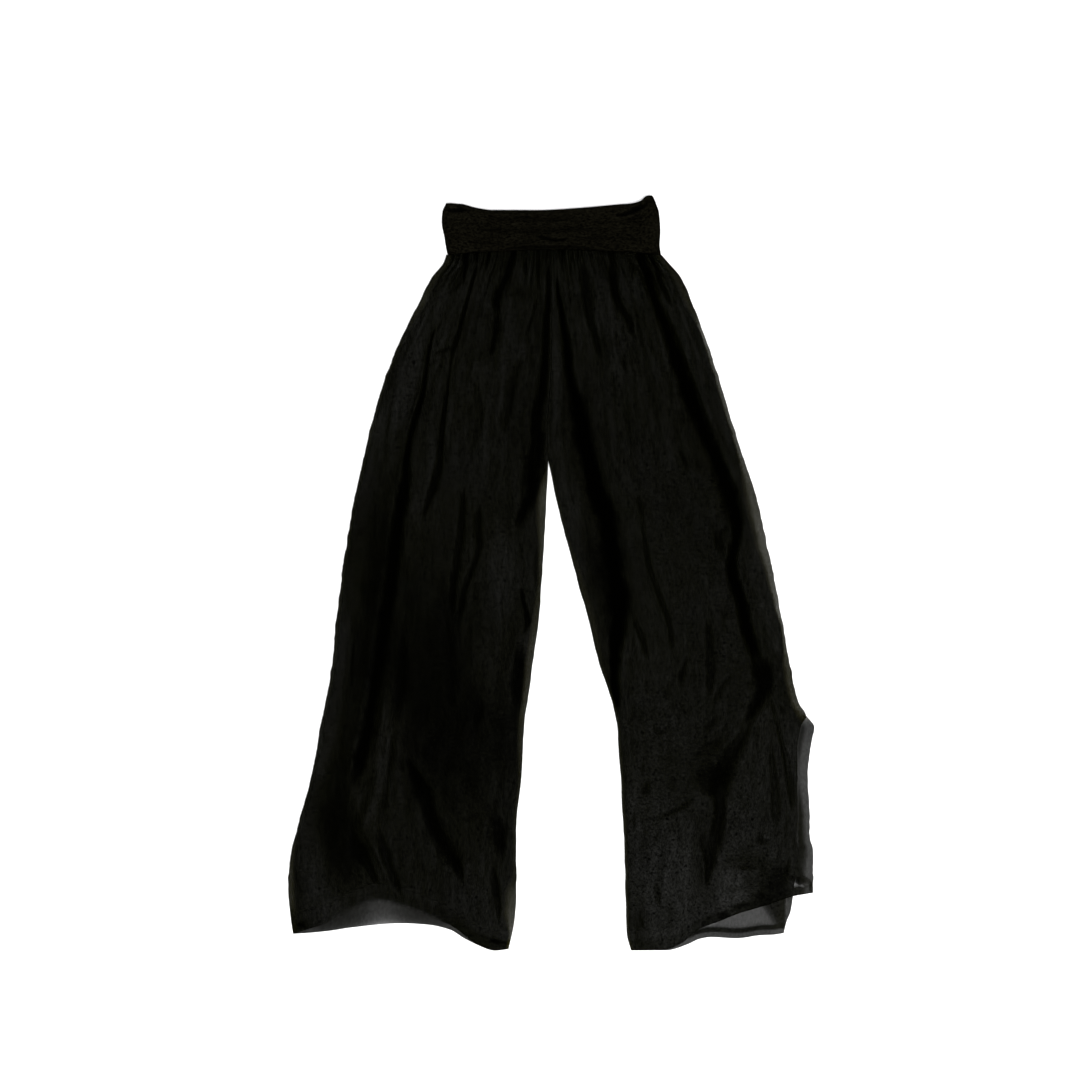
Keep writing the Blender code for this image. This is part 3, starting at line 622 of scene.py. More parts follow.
front = {
    "columns": 172, "rows": 284, "cloth": 0.35,
    "edgeRest": 0.5,            # height of the sheet's middle at its edges
    "overhangRest": 0.2,        # the same past the back leg's edge
    "overhangFall": 8.0,
    "overLining": 2.1,          # how much higher it lies over the lining
    "reach": 26.0,              # width of the climb onto the lining
    "puff": 3.2, "softness": 0.7, "creaseDepth": 0.6,
    "swell": 1.3, "swellAcross": 31.0, "swellAlong": 57.0, "swellSlant": 140.0,
    "seamDip": 0.7, "seamDipReach": 25.0,
    "waves": [(0.5, 15.0, 70.0, 21), (0.28, 6.0, 26.0, 22)],
    "crossWaves": [(0.3, 20.0, 11.0, 23)],
    "crossRise": (120, -180),   # heights between which the cross waves come in
    "sideRound": 38.0, "hemRound": 28.0, "hemAir": 0.25,
    "hemWidth": 11.0, "hemRaise": 0.35, "hemStep": 0.8,
    "hemStitch": (1.0, 0.9, 2.4),   # how plain the stitched line and the cloth under it are, line's width
    "gathers": 17, "gatherHeight": 2.6, "gatherWidth": 2.1, "gatherSpread": 42.0, "gatherReach": 95.0,
    "puckers": 2.6, "puckerHeight": 0.55, "puckerReach": 30.0,
    # its painted sheen: a base amount where no crease lifts it, fine lines and patches
    "paintedSheenBase": 0.72,
    "lines": [(0.38, 1 / 70, 34.0, 81), (0.24, 1 / 32, 80.0, 82)],
    "patches": [(0.24, 5.0, 8.0, 83), (0.14, 14.0, 20.0, 84)],
    "calm": 0.35, "calmRise": (40, 240),    # the share of both that shows low on the leg
    # painted highlight on the crests
    "crestShine": 0.6,
    # painted shade between the gathers and along the waist seam; less painted sheen on the turned-up hem
    "paintedGatherShade": 0.66, "paintedGatherShadeReach": 20.0,
    "paintedSeamShade": 0.42, "paintedSeamShadeReach": 4.0,
    "hemDark": 0.6,
    # past the back's edge it is doubled, at each height from this far inside its own edge
    "overhangEdge": (2.4, -3.6), "doubledBlur": 14.0,
    "doubledFrom": [(-435, 8.5), (-410, 5.5), (-380, 3), (-340, 5), (-300, 10)],
    # the left hem is single cloth: how deep, how much deeper outwards, and where it fades at both ends
    "bareDepth": 8.0, "bareDeeper": 5.0, "bareWiden": (-245, -265),
    "bareOuter": (-350, -310), "bareInner": (-140, -170),
}

# name: points with a half width, height (a trough below 0, a ridge above), depth of painted shade
leftCreases = {
    "longHip": ([(-168, 356, 0.8), (-173, 338, 1.7), (-178, 314, 2.3), (-182, 285, 2.9), (-186, 258, 2.9),
        (-194, 232, 3.9), (-204, 198, 3.6), (-208.6, 165, 3.8), (-211.2, 135, 7), (-216, 106, 8),
        (-221, 78, 8), (-224, 48, 9.1), (-228, 19, 9.1), (-232, -10, 9.1), (-236, -39, 9.1),
        (-241.8, -68, 10.2), (-245.8, -97, 9.5), (-249.8, -126, 9), (-254.3, -155, 9), (-258.8, -184, 9),
        (-263.3, -213, 9.5), (-269, -242, 9.5), (-275, -265, 11), (-281, -286, 11),
        (-290, -303, 12)], -6.8, 0.97),
    "secondHip": ([(-106, 448, 1.3), (-113, 425, 1.8), (-120, 400, 1.8), (-128, 370, 3.1),
        (-134, 345, 3.9), (-142, 323, 3.1), (-146, 300, 1.7), (-149, 278, 1.6), (-152, 252, 2.5),
        (-156, 222, 3.4), (-159, 193, 3.8), (-161, 170, 4.7), (-164, 149, 6), (-172, 120, 6),
        (-180, 98, 4), (-186, 76, 3)], -3.6, 0.85),
    "underGathers": ([(-50, 484, 4), (-57.5, 455, 6), (-63.5, 434, 7), (-71.5, 414, 7.5),
        (-77.6, 397, 7.5), (-79, 381, 6), (-80, 366, 4)], -3.8, 0.95),
    "waistFirst": ([(-122, 482, 4), (-122, 464, 5.5), (-125, 436, 4), (-129, 416, 3)], -2.4, 0.95),
    "waistSecond": ([(-108, 482, 4), (-108, 462, 5), (-107, 442, 3)], -2.4, 0.95),
    "waistThird": ([(-86, 482, 3), (-91, 457, 3.5), (-96, 438, 2)], -2.2, 0.9),
    "waistFourth": ([(-67, 463, 2), (-72, 442, 2), (-74, 428, 2)], -1.6, 0.7),
    "waistFifth": ([(-40, 458, 3), (-37, 440, 3.5), (-36, 422, 2)], -2.0, 0.8),
    "waistSixth": ([(-20, 482, 2.5), (-19, 450, 2.5), (-19, 408, 2)], -1.6, 0.7),
    "waistEdge": ([(-141, 463, 2), (-143, 450, 2)], -1.2, 0.4),
    "sideDimple": ([(-128, 445, 4), (-130, 425, 5), (-140, 412, 5), (-152, 404, 4)], -2.6, 0.55),
    "sideFaint": ([(-180, 392, 2), (-190, 372, 3)], -1.2, 0.3),
    "hipFaint": ([(-159, 370, 3), (-168, 348, 3)], -1.2, 0.35),
    "hipStep": ([(-128, 331, 2.5), (-140, 328, 3.5), (-151, 324, 3), (-162, 320, 2.5),
        (-174, 321, 2.5)], -1.8, 0.75),
    "frontHip": ([(-21, 402, 2), (-25, 378, 2.5), (-32, 358, 3), (-38, 342, 3)], -2.0, 0.65),
    "besideCentre": ([(-4, 452, 3), (-4, 430, 3.3), (-4, 400, 4), (-6, 370, 4.8), (-7, 345, 5.2),
        (-8, 315, 5.6), (-10, 290, 6.4), (-13, 262, 8), (-19.4, 238, 9.1), (-22.1, 212, 9.9),
        (-20.6, 190, 13.1), (-24.6, 165, 14.5), (-27.1, 142, 14), (-29.1, 118, 12), (-36.4, 98, 10),
        (-46.5, 76, 8), (-50.5, 58, 6)], -4.7, 0.93),
    "frontHipLower": ([(-44, 316, 5), (-52, 292, 7), (-58, 268, 7), (-63, 242, 7), (-68, 218, 7),
        (-70, 196, 5)], -2.9, 0.55),
    "hipMiddle": ([(-108, 282, 5), (-107, 258, 6), (-104, 232, 6), (-107, 205, 6), (-112, 188, 4),
        (-119, 163, 4)], -2.2, 0.5),
    "thigh": ([(-127, 125, 3), (-128, 100, 4), (-129, 75, 5), (-131, 52, 6), (-135, 32, 6), (-137, 12, 5),
        (-141, -8, 4), (-143, -40, 4), (-144, -62, 4)], -4.2, 0.75),
    "thighInner": ([(-103, 102, 4), (-106, 80, 5), (-105.1, 58, 5.1), (-103, 42, 4.2), (-108, 24, 4.2),
        (-116, 2, 4.2), (-125, -20, 4), (-129, -45, 5), (-134, -72, 5)], -3.2, 0.75),
    "thighCrest": ([(-117, 118, 3), (-116, 80, 3), (-116, 50, 3), (-117, 20, 3)], 2.4, 0.3),
    "thighCrestOut": ([(-117, 28, 3), (-122, 8, 3), (-130, -12, 3)], 1.6, 0.35),
    "thighCrestIn": ([(-117, 28, 3), (-110, 5, 3), (-100, -10, 3)], 1.6, 0.35),
    "thighBlot": ([(-104, -36, 5), (-114, -32, 5)], -1.4, 0.5),
    "innerThigh": ([(-88, 170, 6), (-80, 150, 6), (-90, 128, 5)], -1.4, 0.3),
    "innerThighLow": ([(-46, 45, 4), (-45, 18, 5)], -1.4, 0.3),
    # painted shadow along the lining's edge
    "liningEdge": ([(-20, 42, 2), (-22, 15, 2.5), (-23, -15, 2.5)], -1.0, 0.6),
    "liningEdgeLow": ([(-43, -18, 2), (-40, -38, 3), (-35, -58, 4), (-34, -72, 4),
        (-40, -92, 5)], -1.6, 0.9),
    "kneeAcross": ([(-112, -77, 2), (-94, -80, 2), (-78, -80, 2)], -0.9, 0.45),
    "kneeInner": ([(-104, -168, 5), (-103, -190, 6), (-107, -208, 6), (-113, -232, 6)], -2.0, 0.6),
    "calfInnerEdge": ([(-42, -96, 6.6), (-45, -112, 9.9), (-46, -130, 11), (-48, -155, 12.1),
        (-49, -180, 11), (-50, -205, 6.6)], -2.6, 0.82),
    "kneeStreakMiddle": ([(-152, -55, 5), (-151, -110, 7), (-147, -150, 8), (-143, -200, 6)], -1.6, 0.22),
    "kneeStreakOuter": ([(-215, -85, 5.5), (-214, -130, 7.7), (-219, -180, 8.8),
        (-225, -205, 5.5)], -1.6, 0.6),
    "kneeStreakFine": ([(-180, -50, 3), (-178, -90, 4)], -1.2, 0.35),
    "outerFaint": ([(-286, -100, 2), (-289, -130, 2), (-288, -165, 3)], -1.2, 0.5),
    "shinCrestFirst": ([(-241, -172, 3), (-243, -205, 5), (-248, -242, 6), (-251, -285, 8),
        (-256, -318, 8), (-266, -342, 7), (-272, -362, 5), (-266, -378, 5), (-257, -394, 5),
        (-249, -412, 5), (-241, -434, 4)], 3.6, 0.36),
    "shinCrestSecond": ([(-221, -218, 4), (-223, -245, 4.5), (-225, -286, 5), (-222, -310, 7),
        (-219, -335, 9)], 2.6, 0.45),
    "shinBetween": ([(-232, -232, 4), (-233, -265, 3), (-238, -300, 3), (-240, -325, 4),
        (-244, -348, 4)], -2.2, 0.5),
    "shinCore": ([(-292, -368, 7.4), (-284, -388, 11), (-275, -404, 12), (-268, -418, 9.2),
        (-259.3, -435, 6.4), (-249, -456, 3.7)], -4.2, 0.75),
    "shinPocket": ([(-254, -366, 4.5), (-247, -383, 7.2), (-241, -400, 6.3), (-236, -420, 5.4),
        (-228, -440, 5.4), (-222, -456, 5.4), (-217, -472, 3.6)], -2.8, 0.62),
    "kneeToHem": ([(-210, -262, 3.8), (-204, -278, 6), (-195, -296, 9.5), (-185.5, -316, 12),
        (-180, -335, 12), (-175, -352, 11.4), (-168, -370, 11.4), (-160, -386, 11.4), (-150, -401, 11.4),
        (-141, -416, 10.4), (-134, -432, 8.5), (-128, -450, 5.7)], -4.6, 0.9),
    "calfInner": ([(-92, -340, 8), (-82, -354, 12), (-76, -372, 12), (-74, -394, 11),
        (-71, -420, 9)], -3.4, 0.84),
    "calfInnerSecond": ([(-93, -352, 5), (-91, -375, 6), (-89, -395, 5)], -1.6, 0.5),
    "hemInner": ([(-86, -418, 6), (-83, -440, 7.2), (-80, -456, 6), (-78, -472, 4.8), (-76, -488, 4.8),
        (-77, -505, 3.6)], -2.6, 0.62),
    "calfAcross": ([(-138, -357, 3), (-118, -354, 4), (-98, -350, 4)], -1.2, 0.5),
    "hemCornerInner": ([(-92, -528, 4), (-80, -534, 3), (-72, -538, 3)], -1.0, 0.8),
    "hemCornerOuter": ([(-370, -509, 3), (-362, -509, 4), (-354, -508, 3)], -1.0, 0.8),
    "hipEdgeLine": ([(-88, 478, 2), (-84, 455, 2.5), (-82, 440, 2)], -1.0, 0.0),
    "underGathersTail": ([(-77, 388, 5.5), (-79, 370, 7.2), (-80, 350, 6.6), (-84, 332, 5.2),
        (-89, 308, 3)], -2.0, 0.88),
}
rightCreases = {
    "centreRidge": ([(-1, 446, 2.5), (0, 425, 3), (2, 398, 4.4), (4, 352, 6.5), (6, 310, 8.5),
        (5.5, 278, 8), (5, 250, 8), (5, 222, 9), (6, 194, 9), (4, 170, 7)], 3.6, 0.9),
    "longHip": ([(123, 484, 4.5), (129.8, 458, 6.5), (138, 434, 8.4), (144, 412, 8), (152, 390, 6.3),
        (161, 368, 7.4), (169, 348, 8.5), (176, 328, 9.6), (185, 305, 10.6), (194, 280, 11),
        (203, 254, 11.5), (213, 228, 12), (222, 205, 11.5), (230, 184, 11), (241, 162, 12),
        (249, 140, 13), (256, 120, 13.9), (261, 102, 13.9), (267, 84, 11.2), (270, 66, 7.2),
        (269, 50, 6.3), (264, 34, 6.8), (262, 14, 7.2), (263, -5, 7.2), (270.3, -24, 7.7),
        (275.5, -42, 7.8), (279.5, -62, 8), (284.5, -82, 8.5), (290.5, -102, 9), (296.5, -122, 10),
        (301.5, -140, 10)], -6.8, 0.98),
    "longHipFork": ([(262, 76, 5), (249, 64, 6), (243, 52, 6), (246, 36, 6), (256, 22, 5)], -3.0, 0.6),
    "kneePool": ([(300, -122, 11), (304, -140, 14), (303, -156, 11)], -3.0, 0.5),
    "waistSide": ([(136, 482, 2.2), (143, 460, 3), (152, 440, 3.8), (159, 420, 5), (167, 402, 4),
        (175, 386, 3)], -3.0, 0.85),
    "waistToKnee": ([(9, 430, 1.4), (10, 408, 2.1), (14, 385, 3.1), (17.5, 360, 4.5), (21.5, 338, 5.4),
        (24.5, 310, 5.9), (27.5, 282, 6.3), (33, 262, 9), (39, 242, 11.5), (43.6, 218, 14), (48, 192, 15),
        (54, 165, 14.5), (61, 140, 14), (67, 118, 15.5), (74, 98, 17), (81, 76, 15.5), (86.4, 48, 15),
        (89.2, 19, 16), (95, -10, 17.1), (99, -39, 18.4), (98, -68, 15.2), (93.5, -97, 10.8),
        (92, -126, 8.1), (90.5, -155, 6.3), (94, -184, 6), (97, -205, 4)], -6.0, 1.0),
    "frontHip": ([(85, 484, 4.2), (88, 454, 5.1), (91, 430, 6), (93, 405, 5.4), (101, 385, 4.3),
        (112, 366, 6), (117, 350, 5), (119, 338, 3)], -3.9, 0.85),
    "frontHipNick": ([(103, 362, 3), (103, 344, 2)], -1.4, 0.5),
    "hipShort": ([(44.5, 458, 5.5), (46.5, 440, 7.7), (49.5, 420, 8.8), (51.5, 400, 8.8),
        (54.5, 382, 7.6), (58.5, 362, 5), (63, 345, 4), (68, 325, 6), (71, 308, 5)], -3.0, 0.8),
    "hipShortUpper": ([(71, 482, 3), (74, 450, 3)], -1.8, 0.25),
    "waistNick": ([(16, 482, 3), (16, 456, 3.5), (15, 434, 2)], -1.6, 0.7),
    "hipDashHigh": ([(26, 412, 2), (27, 385, 2)], -1.2, 0.5),
    "waistDashFirst": ([(114, 452, 3), (118, 435, 4), (120, 418, 3)], -1.6, 0.45),
    "waistDashSecond": ([(56, 465, 2), (58, 452, 2)], -1.2, 0.6),
    "waistDashThird": ([(100, 466, 2), (104, 452, 2)], -1.2, 0.6),
    "waistDashFourth": ([(30, 464, 2), (31, 446, 2)], -1.2, 0.5),
    "hipNickHigh": ([(141, 333, 3), (147, 322, 3), (153, 310, 3)], -1.6, 0.3),
    "hipDash": ([(104, 314, 3), (106, 300, 3), (111, 289, 2)], -1.8, 0.7),
    "hipLine": ([(140, 290, 2), (144, 268, 3), (145, 246, 3), (141, 230, 3)], -1.6, 0.3),
    "hipBlot": ([(83, 288, 4), (88, 268, 6), (93, 250, 5)], -1.2, 0.35),
    "thighTick": ([(108, 240, 4), (110, 226, 4), (110, 212, 3)], -1.4, 0.45),
    "thighFaint": ([(94, 156, 3), (98, 140, 4)], -1.2, 0.35),
    "thighDashFirst": ([(184, 186, 3), (191, 168, 3.5), (199, 147, 3)], -2.0, 0.7),
    "thighDashSecond": ([(207, 172, 3), (213, 156, 3.5), (216, 142, 2)], -2.0, 0.65),
    "midThigh": ([(124, 118, 2), (129, 98, 2.5), (133, 76, 2.5), (135, 52, 2.5), (138, 30, 3),
        (141, 12, 3.5), (148, -8, 3), (155, -28, 3.5), (163, -48, 4), (170, -68, 3.5), (174, -90, 3),
        (177, -115, 3)], -3.0, 0.65),
    "innerFaint": ([(26, 118, 2.5), (32, 98, 3)], -1.2, 0.35),
    "innerThigh": ([(119, -54, 4), (122, -70, 4), (128, -84, 4), (133, -98, 4), (137, -112, 4),
        (139, -126, 4)], -2.6, 0.6),
    "innerThighLow": ([(118, -84, 4), (119, -104, 4)], -1.2, 0.4),
    "outerThigh": ([(226, -60, 4), (228, -85, 6), (230, -112, 7), (231, -140, 7), (230, -165, 6),
        (228, -184, 5)], -2.2, 0.62),
    "outerThighFaint": ([(248, -52, 3), (251, -70, 3)], -1.2, 0.35),
    "kneeHook": ([(198, -117, 2), (193, -131, 3), (189, -146, 4), (188, -157, 4),
        (182, -164, 4)], -2.2, 0.75),
    "kneeArc": ([(264, -145, 2), (253, -155, 3), (244, -167, 4), (238, -180, 6),
        (227, -187, 7)], -2.4, 0.65),
    "kneeArcLow": ([(244, -204, 4), (236, -210, 4), (228, -220, 5), (224, -232, 4)], -2.0, 0.65),
    "kneeArcOuter": ([(263, -209, 2), (251, -222, 3), (242, -236, 3)], -1.4, 0.5),
    "kneeDash": ([(330, -106, 5), (338, -102, 3)], -1.0, 0.6),
    "kneeSmall": ([(187, -192, 4), (195, -194, 3)], -1.0, 0.4),
    "kneeV": ([(147, -216, 3), (152, -224, 4), (158, -229, 4), (165, -225, 3),
        (173, -221, 3)], -1.8, 0.6),
    "kneeSide": ([(172, -150, 4), (168, -170, 5), (170, -188, 4)], -1.2, 0.35),
    "kneeInner": ([(137, -150, 4), (138, -172, 4)], -1.0, 0.3),
    "outerCalf": ([(317, -178, 2), (323, -200, 2.5), (329, -225, 2.5), (335, -248, 3), (341, -272, 5),
        (346, -298, 6), (349, -322, 6), (349, -345, 4)], -2.2, 0.5),
    "outerCalfHigh": ([(332, -188, 2), (336, -203, 4)], -1.4, 0.6),
    "outerCalfInner": ([(318, -245, 3), (320, -280, 4), (323, -308, 6), (325, -330, 7), (325, -352, 7),
        (324, -372, 6)], -2.0, 0.42),
    "calfCross": ([(355, -360, 3), (340, -370, 3), (326, -382, 3)], 1.0, 0.3),
    "calfPocket": ([(305, -372, 5), (304, -386, 4), (320, -387, 3)], -1.4, 0.6),
    "shinLowerDull": ([(222, -366, 6), (219, -385, 8), (222, -408, 8)], -1.4, 0.65),
    "shinBlot": ([(234, -238, 12), (236, -252, 12)], -1.4, 0.5),
    "shinTail": ([(216, -253, 4), (206, -268, 4)], -1.2, 0.45),
    "acrossShin": ([(150, -352, 3), (162, -349, 4), (176, -343, 4), (192, -334, 5),
        (206, -322, 5)], -1.8, 0.6),
    "innerBlot": ([(138, -298, 5), (136, -310, 7), (131, -324, 5)], -1.8, 0.65),
    "innerBlotHigh": ([(131, -272, 4), (132, -288, 4)], -1.2, 0.35),
    "innerCrook": ([(119, -338, 3), (118, -356, 3), (119, -372, 3)], -1.2, 0.45),
    "innerHem": ([(150, -444, 4), (153, -458, 5), (155, -472, 4), (157, -484, 3)], -1.6, 0.5),
    "innerHemLow": ([(125, -493, 4), (129, -503, 5), (133, -514, 4)], -1.6, 0.5),
    "innerHemFaint": ([(152, -372, 3), (149, -392, 4)], -1.0, 0.25),
    "acrossHem": ([(262, -425, 3), (280, -424, 4), (300, -425, 3)], -1.8, 0.6),
    "hemCorner": ([(345, -408, 5), (338, -424, 9), (330, -440, 14), (322, -455, 17),
        (316, -468, 15)], -2.6, 0.5),
    "hemCornerInner": ([(303, -460, 9), (302, -473, 9)], -1.4, 0.6),
    "calfLight": ([(285, -262, 9), (283, -310, 12), (280, -360, 13), (262, -395, 10)], 1.4, 0.25),
    "sideCrest": ([(168, 382, 3), (186, 336, 3), (203, 292, 4), (218, 256, 4), (234, 220, 4),
        (248, 188, 4), (262, 156, 4)], 1.6, 0.2),
    "kneeCrest": ([(113, -62, 4), (108, -90, 4), (104, -115, 4), (100, -140, 4)], 1.8, 0.3),
    "longHipEnd": ([(296, -100, 10), (299, -116, 15), (303, -131, 18.5), (308, -147, 17),
        (307, -164, 14.5), (301, -180, 12), (293, -195, 9.5), (284, -209, 7.5),
        (274, -222, 6)], -3.4, 0.9),
    "shin": ([(289, -211, 4), (281.5, -226, 8.5), (274, -240, 10.5), (264, -256, 10), (255, -270, 11),
        (249, -286, 13.8), (243, -300, 14.2), (243, -312, 13), (244, -326, 9.5), (244.5, -340, 7.4),
        (244, -352, 7.4), (240.8, -366, 8.3), (238, -380, 11), (232, -394, 12.5), (229, -408, 11),
        (229, -422, 6), (226, -437, 4.4), (225, -452, 3)], -4.2, 0.7),
}

# painted shade: places that get less of the painted sheen and so look darker: centre, half sizes, tilt,
# amount
paintedShadePlaces = {
    "leftKnee": (-174, -136, 69, 130, 5, 0.7),
    "leftKneeLow": (-122, -248, 64, 78, 0, 0.6),
    "leftShinOval": (-304, -374, 36, 80, 5, 0.78),
    "leftOuterCalf": (-276, -150, 22, 165, -9, 0.62),
    "leftOuterThigh": (-254, 20, 19, 110, -7, 0.62),
    "leftInnerKnee": (-53, -88, 15, 46, 0, 0.45),
    "leftInnerCalf": (-60, -262, 20, 110, 0, 0.42),
    "leftBesideCentre": (-15, 355, 7, 50, 0, 0.55),
    "leftHipPatch": (-40, 404, 16, 9, 8, 0.55),
    "leftHipLow": (-95, 320, 12, 22, 0, 0.4),
    "leftHem": (-190, -445, 28, 26, 0, 0.2),
    "leftOuterHip": (-232, 285, 6, 40, -15, 0.4),
    "rightInnerThigh": (30, 222, 20, 42, -10, 0.16),
    "rightKnee": (222, -150, 52, 66, 0, 0.14),
    "rightInnerKnee": (66, 6, 16, 75, 14, 0.6),
    "rightHip": (72, 310, 9, 14, 0, 0.35),
    "rightKneePatch": (128, -205, 26, 16, 0, 0.2),
    "rightShinPatch": (170, -285, 24, 34, 0, 0.22),
    "rightOuterCalf": (346, -320, 8, 30, 0, 0.08),
    "rightAboveHemLine": (283, -414, 22, 9, 0, 0.35),
    "rightCorner": (325, -450, 22, 34, -25, 0.34),
    "rightHemInner": (150, -505, 36, 18, 0, 0.15),
    "leftCalfMiddle": (-215, -345, 45, 90, 0, 0.25),
    "leftThighMiddle": (-206, 20, 26, 56, 0, 0.3),
    "leftHip": (-60, 380, 20, 30, 0, 0.05),
    "leftInnerCalfHigh": (-62, -180, 24, 32, 0, 0.28),
    "leftHemPatch": (-128, -358, 32, 78, 8, 0.38),
    "rightShinDull": (240, -270, 32, 34, 0, 0.5),
    "leftCalfHigh": (-178, -258, 32, 56, 0, 0.3),
    "leftUnderTail": (-89, 361, 9, 17, 0, 0.4),
    "leftInnerHem": (-71, -432, 20, 62, 0, 0.34),
    "leftCalfAcross": (-82, -342, 24, 18, 0, 0.4),
    "leftShinInner": (-244, -350, 10, 26, 0, 0.35),
    "leftHipEnd": (-270, -292, 14, 16, 0, 0.45),
    "leftHemMiddle": (-238, -450, 20, 18, 0, 0.2),
    "rightShinFoot": (230, -436, 10, 30, 0, 0.3),
    "leftBesideHip": (-227, -122, 16, 100, 5, 0.34),
    "leftKneeInner": (-136, -112, 10, 80, 0, 0.3),
}

# painted sheen: places that get the most of it
paintedSheenPlaces = {
    "leftInnerKnee": (-68, -2, 20, 68, 4, 0.92),
    "leftThigh": (-178, 150, 24, 60, -8, 0.3),
    "leftShin": (-238, -275, 20, 60, 0, 0.2),
    "leftHem": (-108, -460, 18, 62, 0, 0.15),
    "leftOuterStrip": (-322, -185, 17, 142, -9, 1.25),
    "rightCalf": (165, -440, 48, 90, 0, 0.56),
    "rightShin": (282, -330, 26, 90, 0, 0.05),
    "rightHemMiddle": (255, -455, 26, 30, 0, 0.9),
    "centre": (4, 292, 9, 112, 0, 0.8),
    "leftHipStrip": (-227, 260, 26, 152, -18.6, 1.15),
    "rightHipStrip": (222, 330, 20, 150, 22, 1.15),
    "leftHemEdge": (-340, -475, 36, 46, 0, 0.4),
    "hipsLeft": (-95, 385, 120, 100, 0, 0.42),
    "hipsRight": (95, 385, 120, 100, 0, 0.36),
    "leftShinSpot": (-285, -332, 11, 22, -10, 0.9),
    "leftHemSide": (-356, -395, 24, 70, 8, 0.78),
    "rightCalfEdge": (347, -250, 10, 70, 0, 0.5),
    "rightHemEdge": (121, -420, 9, 105, 0, 0.8),
    "thighs": (-95, 200, 80, 90, 0, 0.2),
    "rightInseam": (25, 92, 15, 95, 11.6, 1.0),
    "rightInseamKnee": (103, -215, 10, 28, 0, 0.5),
    "rightSideStrip": (236, 262, 18, 135, 18, 0.62),
    "rightSideStripLow": (302, 10, 14, 155, 12.6, 0.6),
}

# painted shade in small dark spots, as along a hem; open places, which let the light through; doubled places
paintedShadeSpots = {
    "hemFirst": (249, -496, 9, 6, 20, 0.7), "hemSecond": (273, -481, 12, 4, 12, 0.7),
    "hemThird": (230, -498, 5, 3, 20, 0.6), "hemFourth": (222, -509, 5, 4, 20, 0.6),
    "cornerUpper": (322, -440, 22, 20, -10, 0.25),
    "cornerOuter": (356, -444, 16, 5, -20, 0.6),
    "leftCornerSpot": (-363, -510, 7, 3, 0, 0.7), "leftCornerSide": (-375, -494, 2.5, 16, 0, 0.6),
    "innerCornerSpot": (-78, -533, 14, 4, -12, 0.7),
    "cornerLower": (318, -468, 26, 18, 10, 0.3),
    "shinPool": (233, -298, 17, 21, 0, 0.6),
}
openPlaces = {
    "slot": (353.5, -452, 5, 3.6, 0, 1.0), "slotEnd": (361, -453, 6.5, 1.8, -5, 0.9),
    "wedgeInner": (233, -510.5, 7, 3, 25, 1.0),
    "wedgeOuter": (336, -506, 4.5, 4.5, 45, 1.0),
}
densePlaces = {
    "aboveSlot": (364, -443, 17, 4.5, -22, 0.45), "underSlot": (359, -457, 8, 1.2, -2, 0.6),
    "slotCorner": (377, -455, 3, 8, 0, 0.35),
}


# gathers under the waist seam: each is a height exp(-(distance / spread)^2) that fades with
# exp(-(down / length)^1.5), plus finer puckers right at the seam
def gatherHeight(leg, share, width, down):
    total = np.zeros(share.shape)
    count = front["gathers"]
    spread = front["gatherWidth"] * (1 + down / front["gatherSpread"])
    for k in range(count):
        lively = (k * 0.618 + (0.3 if leg["side"] > 0 else 0.0)) % 1.0      # from 0, low, to 1, high
        centre = (k + 0.5 + 0.24 * (lively - 0.5)) / count
        length = front["gatherReach"] * (0.45 + 1.1 * ((lively * 7.3) % 1.0))
        fade = np.exp(-(np.maximum(down, 0) / length) ** 1.5)
        crest = np.exp(-((share - centre) * width / spread) ** 2)
        total += front["gatherHeight"] * (0.65 + 0.7 * lively) * fade * crest
    puckers = softNoise(share * front["puckers"] * count, down / front["puckerReach"], 11)
    return total + front["puckerHeight"] * puckers * np.exp(-down / front["puckerReach"])


# middle of the front sheet: its rest height, plus its lift (puff, swell, gathers, creases and waves,
# kept above 0 by softness log(1 + exp(lift / softness))) rounded off at the edges, plus the hem's step
def frontHeight(leg, x, y, down, depths, pastBack, gathers, creases):
    outer, inner, hem = depths
    liningOuter = outer - throughPairs(leg["liningOuter"], y)
    liningInner = np.where(y > waist["crotchY"], np.inf, inner - throughPairs(leg["liningInner"], y))
    inLining = np.minimum(np.minimum(liningOuter, liningInner), hem - lining["shorter"])
    rest = front["overhangRest"]
    rest = rest + (front["edgeRest"] - rest) * rising(pastBack, -front["overhangFall"], 0)
    rest = rest + front["overLining"] * rising(inLining, -front["reach"], 0)
    swell = front["swell"] * np.sin(x / front["swellAcross"] + 0.8)
    swell = swell * np.sin(y / front["swellAlong"] + x / front["swellSlant"])
    lift = front["puff"] + swell + gathers
    lift += front["creaseDepth"] * creases - front["seamDip"] * np.exp(-down / front["seamDipReach"])
    lift += softWaves(x, y, front["waves"])
    lift += softWaves(x, y, front["crossWaves"]) * rising(y, *front["crossRise"])
    lift = front["softness"] * np.logaddexp(0.0, lift / front["softness"])
    roundOff = np.sin(np.pi / 2 * np.clip(outer / front["sideRound"], 0, 1))
    roundOff *= np.sin(np.pi / 2 * np.clip(inner / front["sideRound"], 0, 1))
    atHem = front["hemAir"] + (1 - front["hemAir"]) * quarterRound(hem / front["hemRound"])
    shows = np.interp(x, *zip(*leg["hemShows"]))
    turned = front["hemRaise"] * shows * rising(hem, front["hemWidth"], front["hemWidth"] - front["hemStep"])
    return rest + lift * roundOff * atHem + turned


# how sheer the cloth is near its side edges: an amount times smoothStep((e + 1.5 - distance) / (0.7 e)),
# with e the distance of the lining's edge, so that it fades softly to nothing over that edge
def sheerMask(leg, outer, inner, y):
    def strip(amounts, edge, distance):
        e = throughPairs(edge, y)
        return throughPairs(amounts, y) * smoothStep((e + 1.5 - distance) / (0.7 * e))

    below = rising(y, waist["crotchY"], waist["crotchY"] - 10)
    outerStrip = strip(leg["sheerOuter"], leg["liningOuter"], outer)
    innerStrip = strip(leg["sheerInner"], leg["liningInner"], inner) * below
    return np.clip(outerStrip + innerStrip, 0, 1.5)


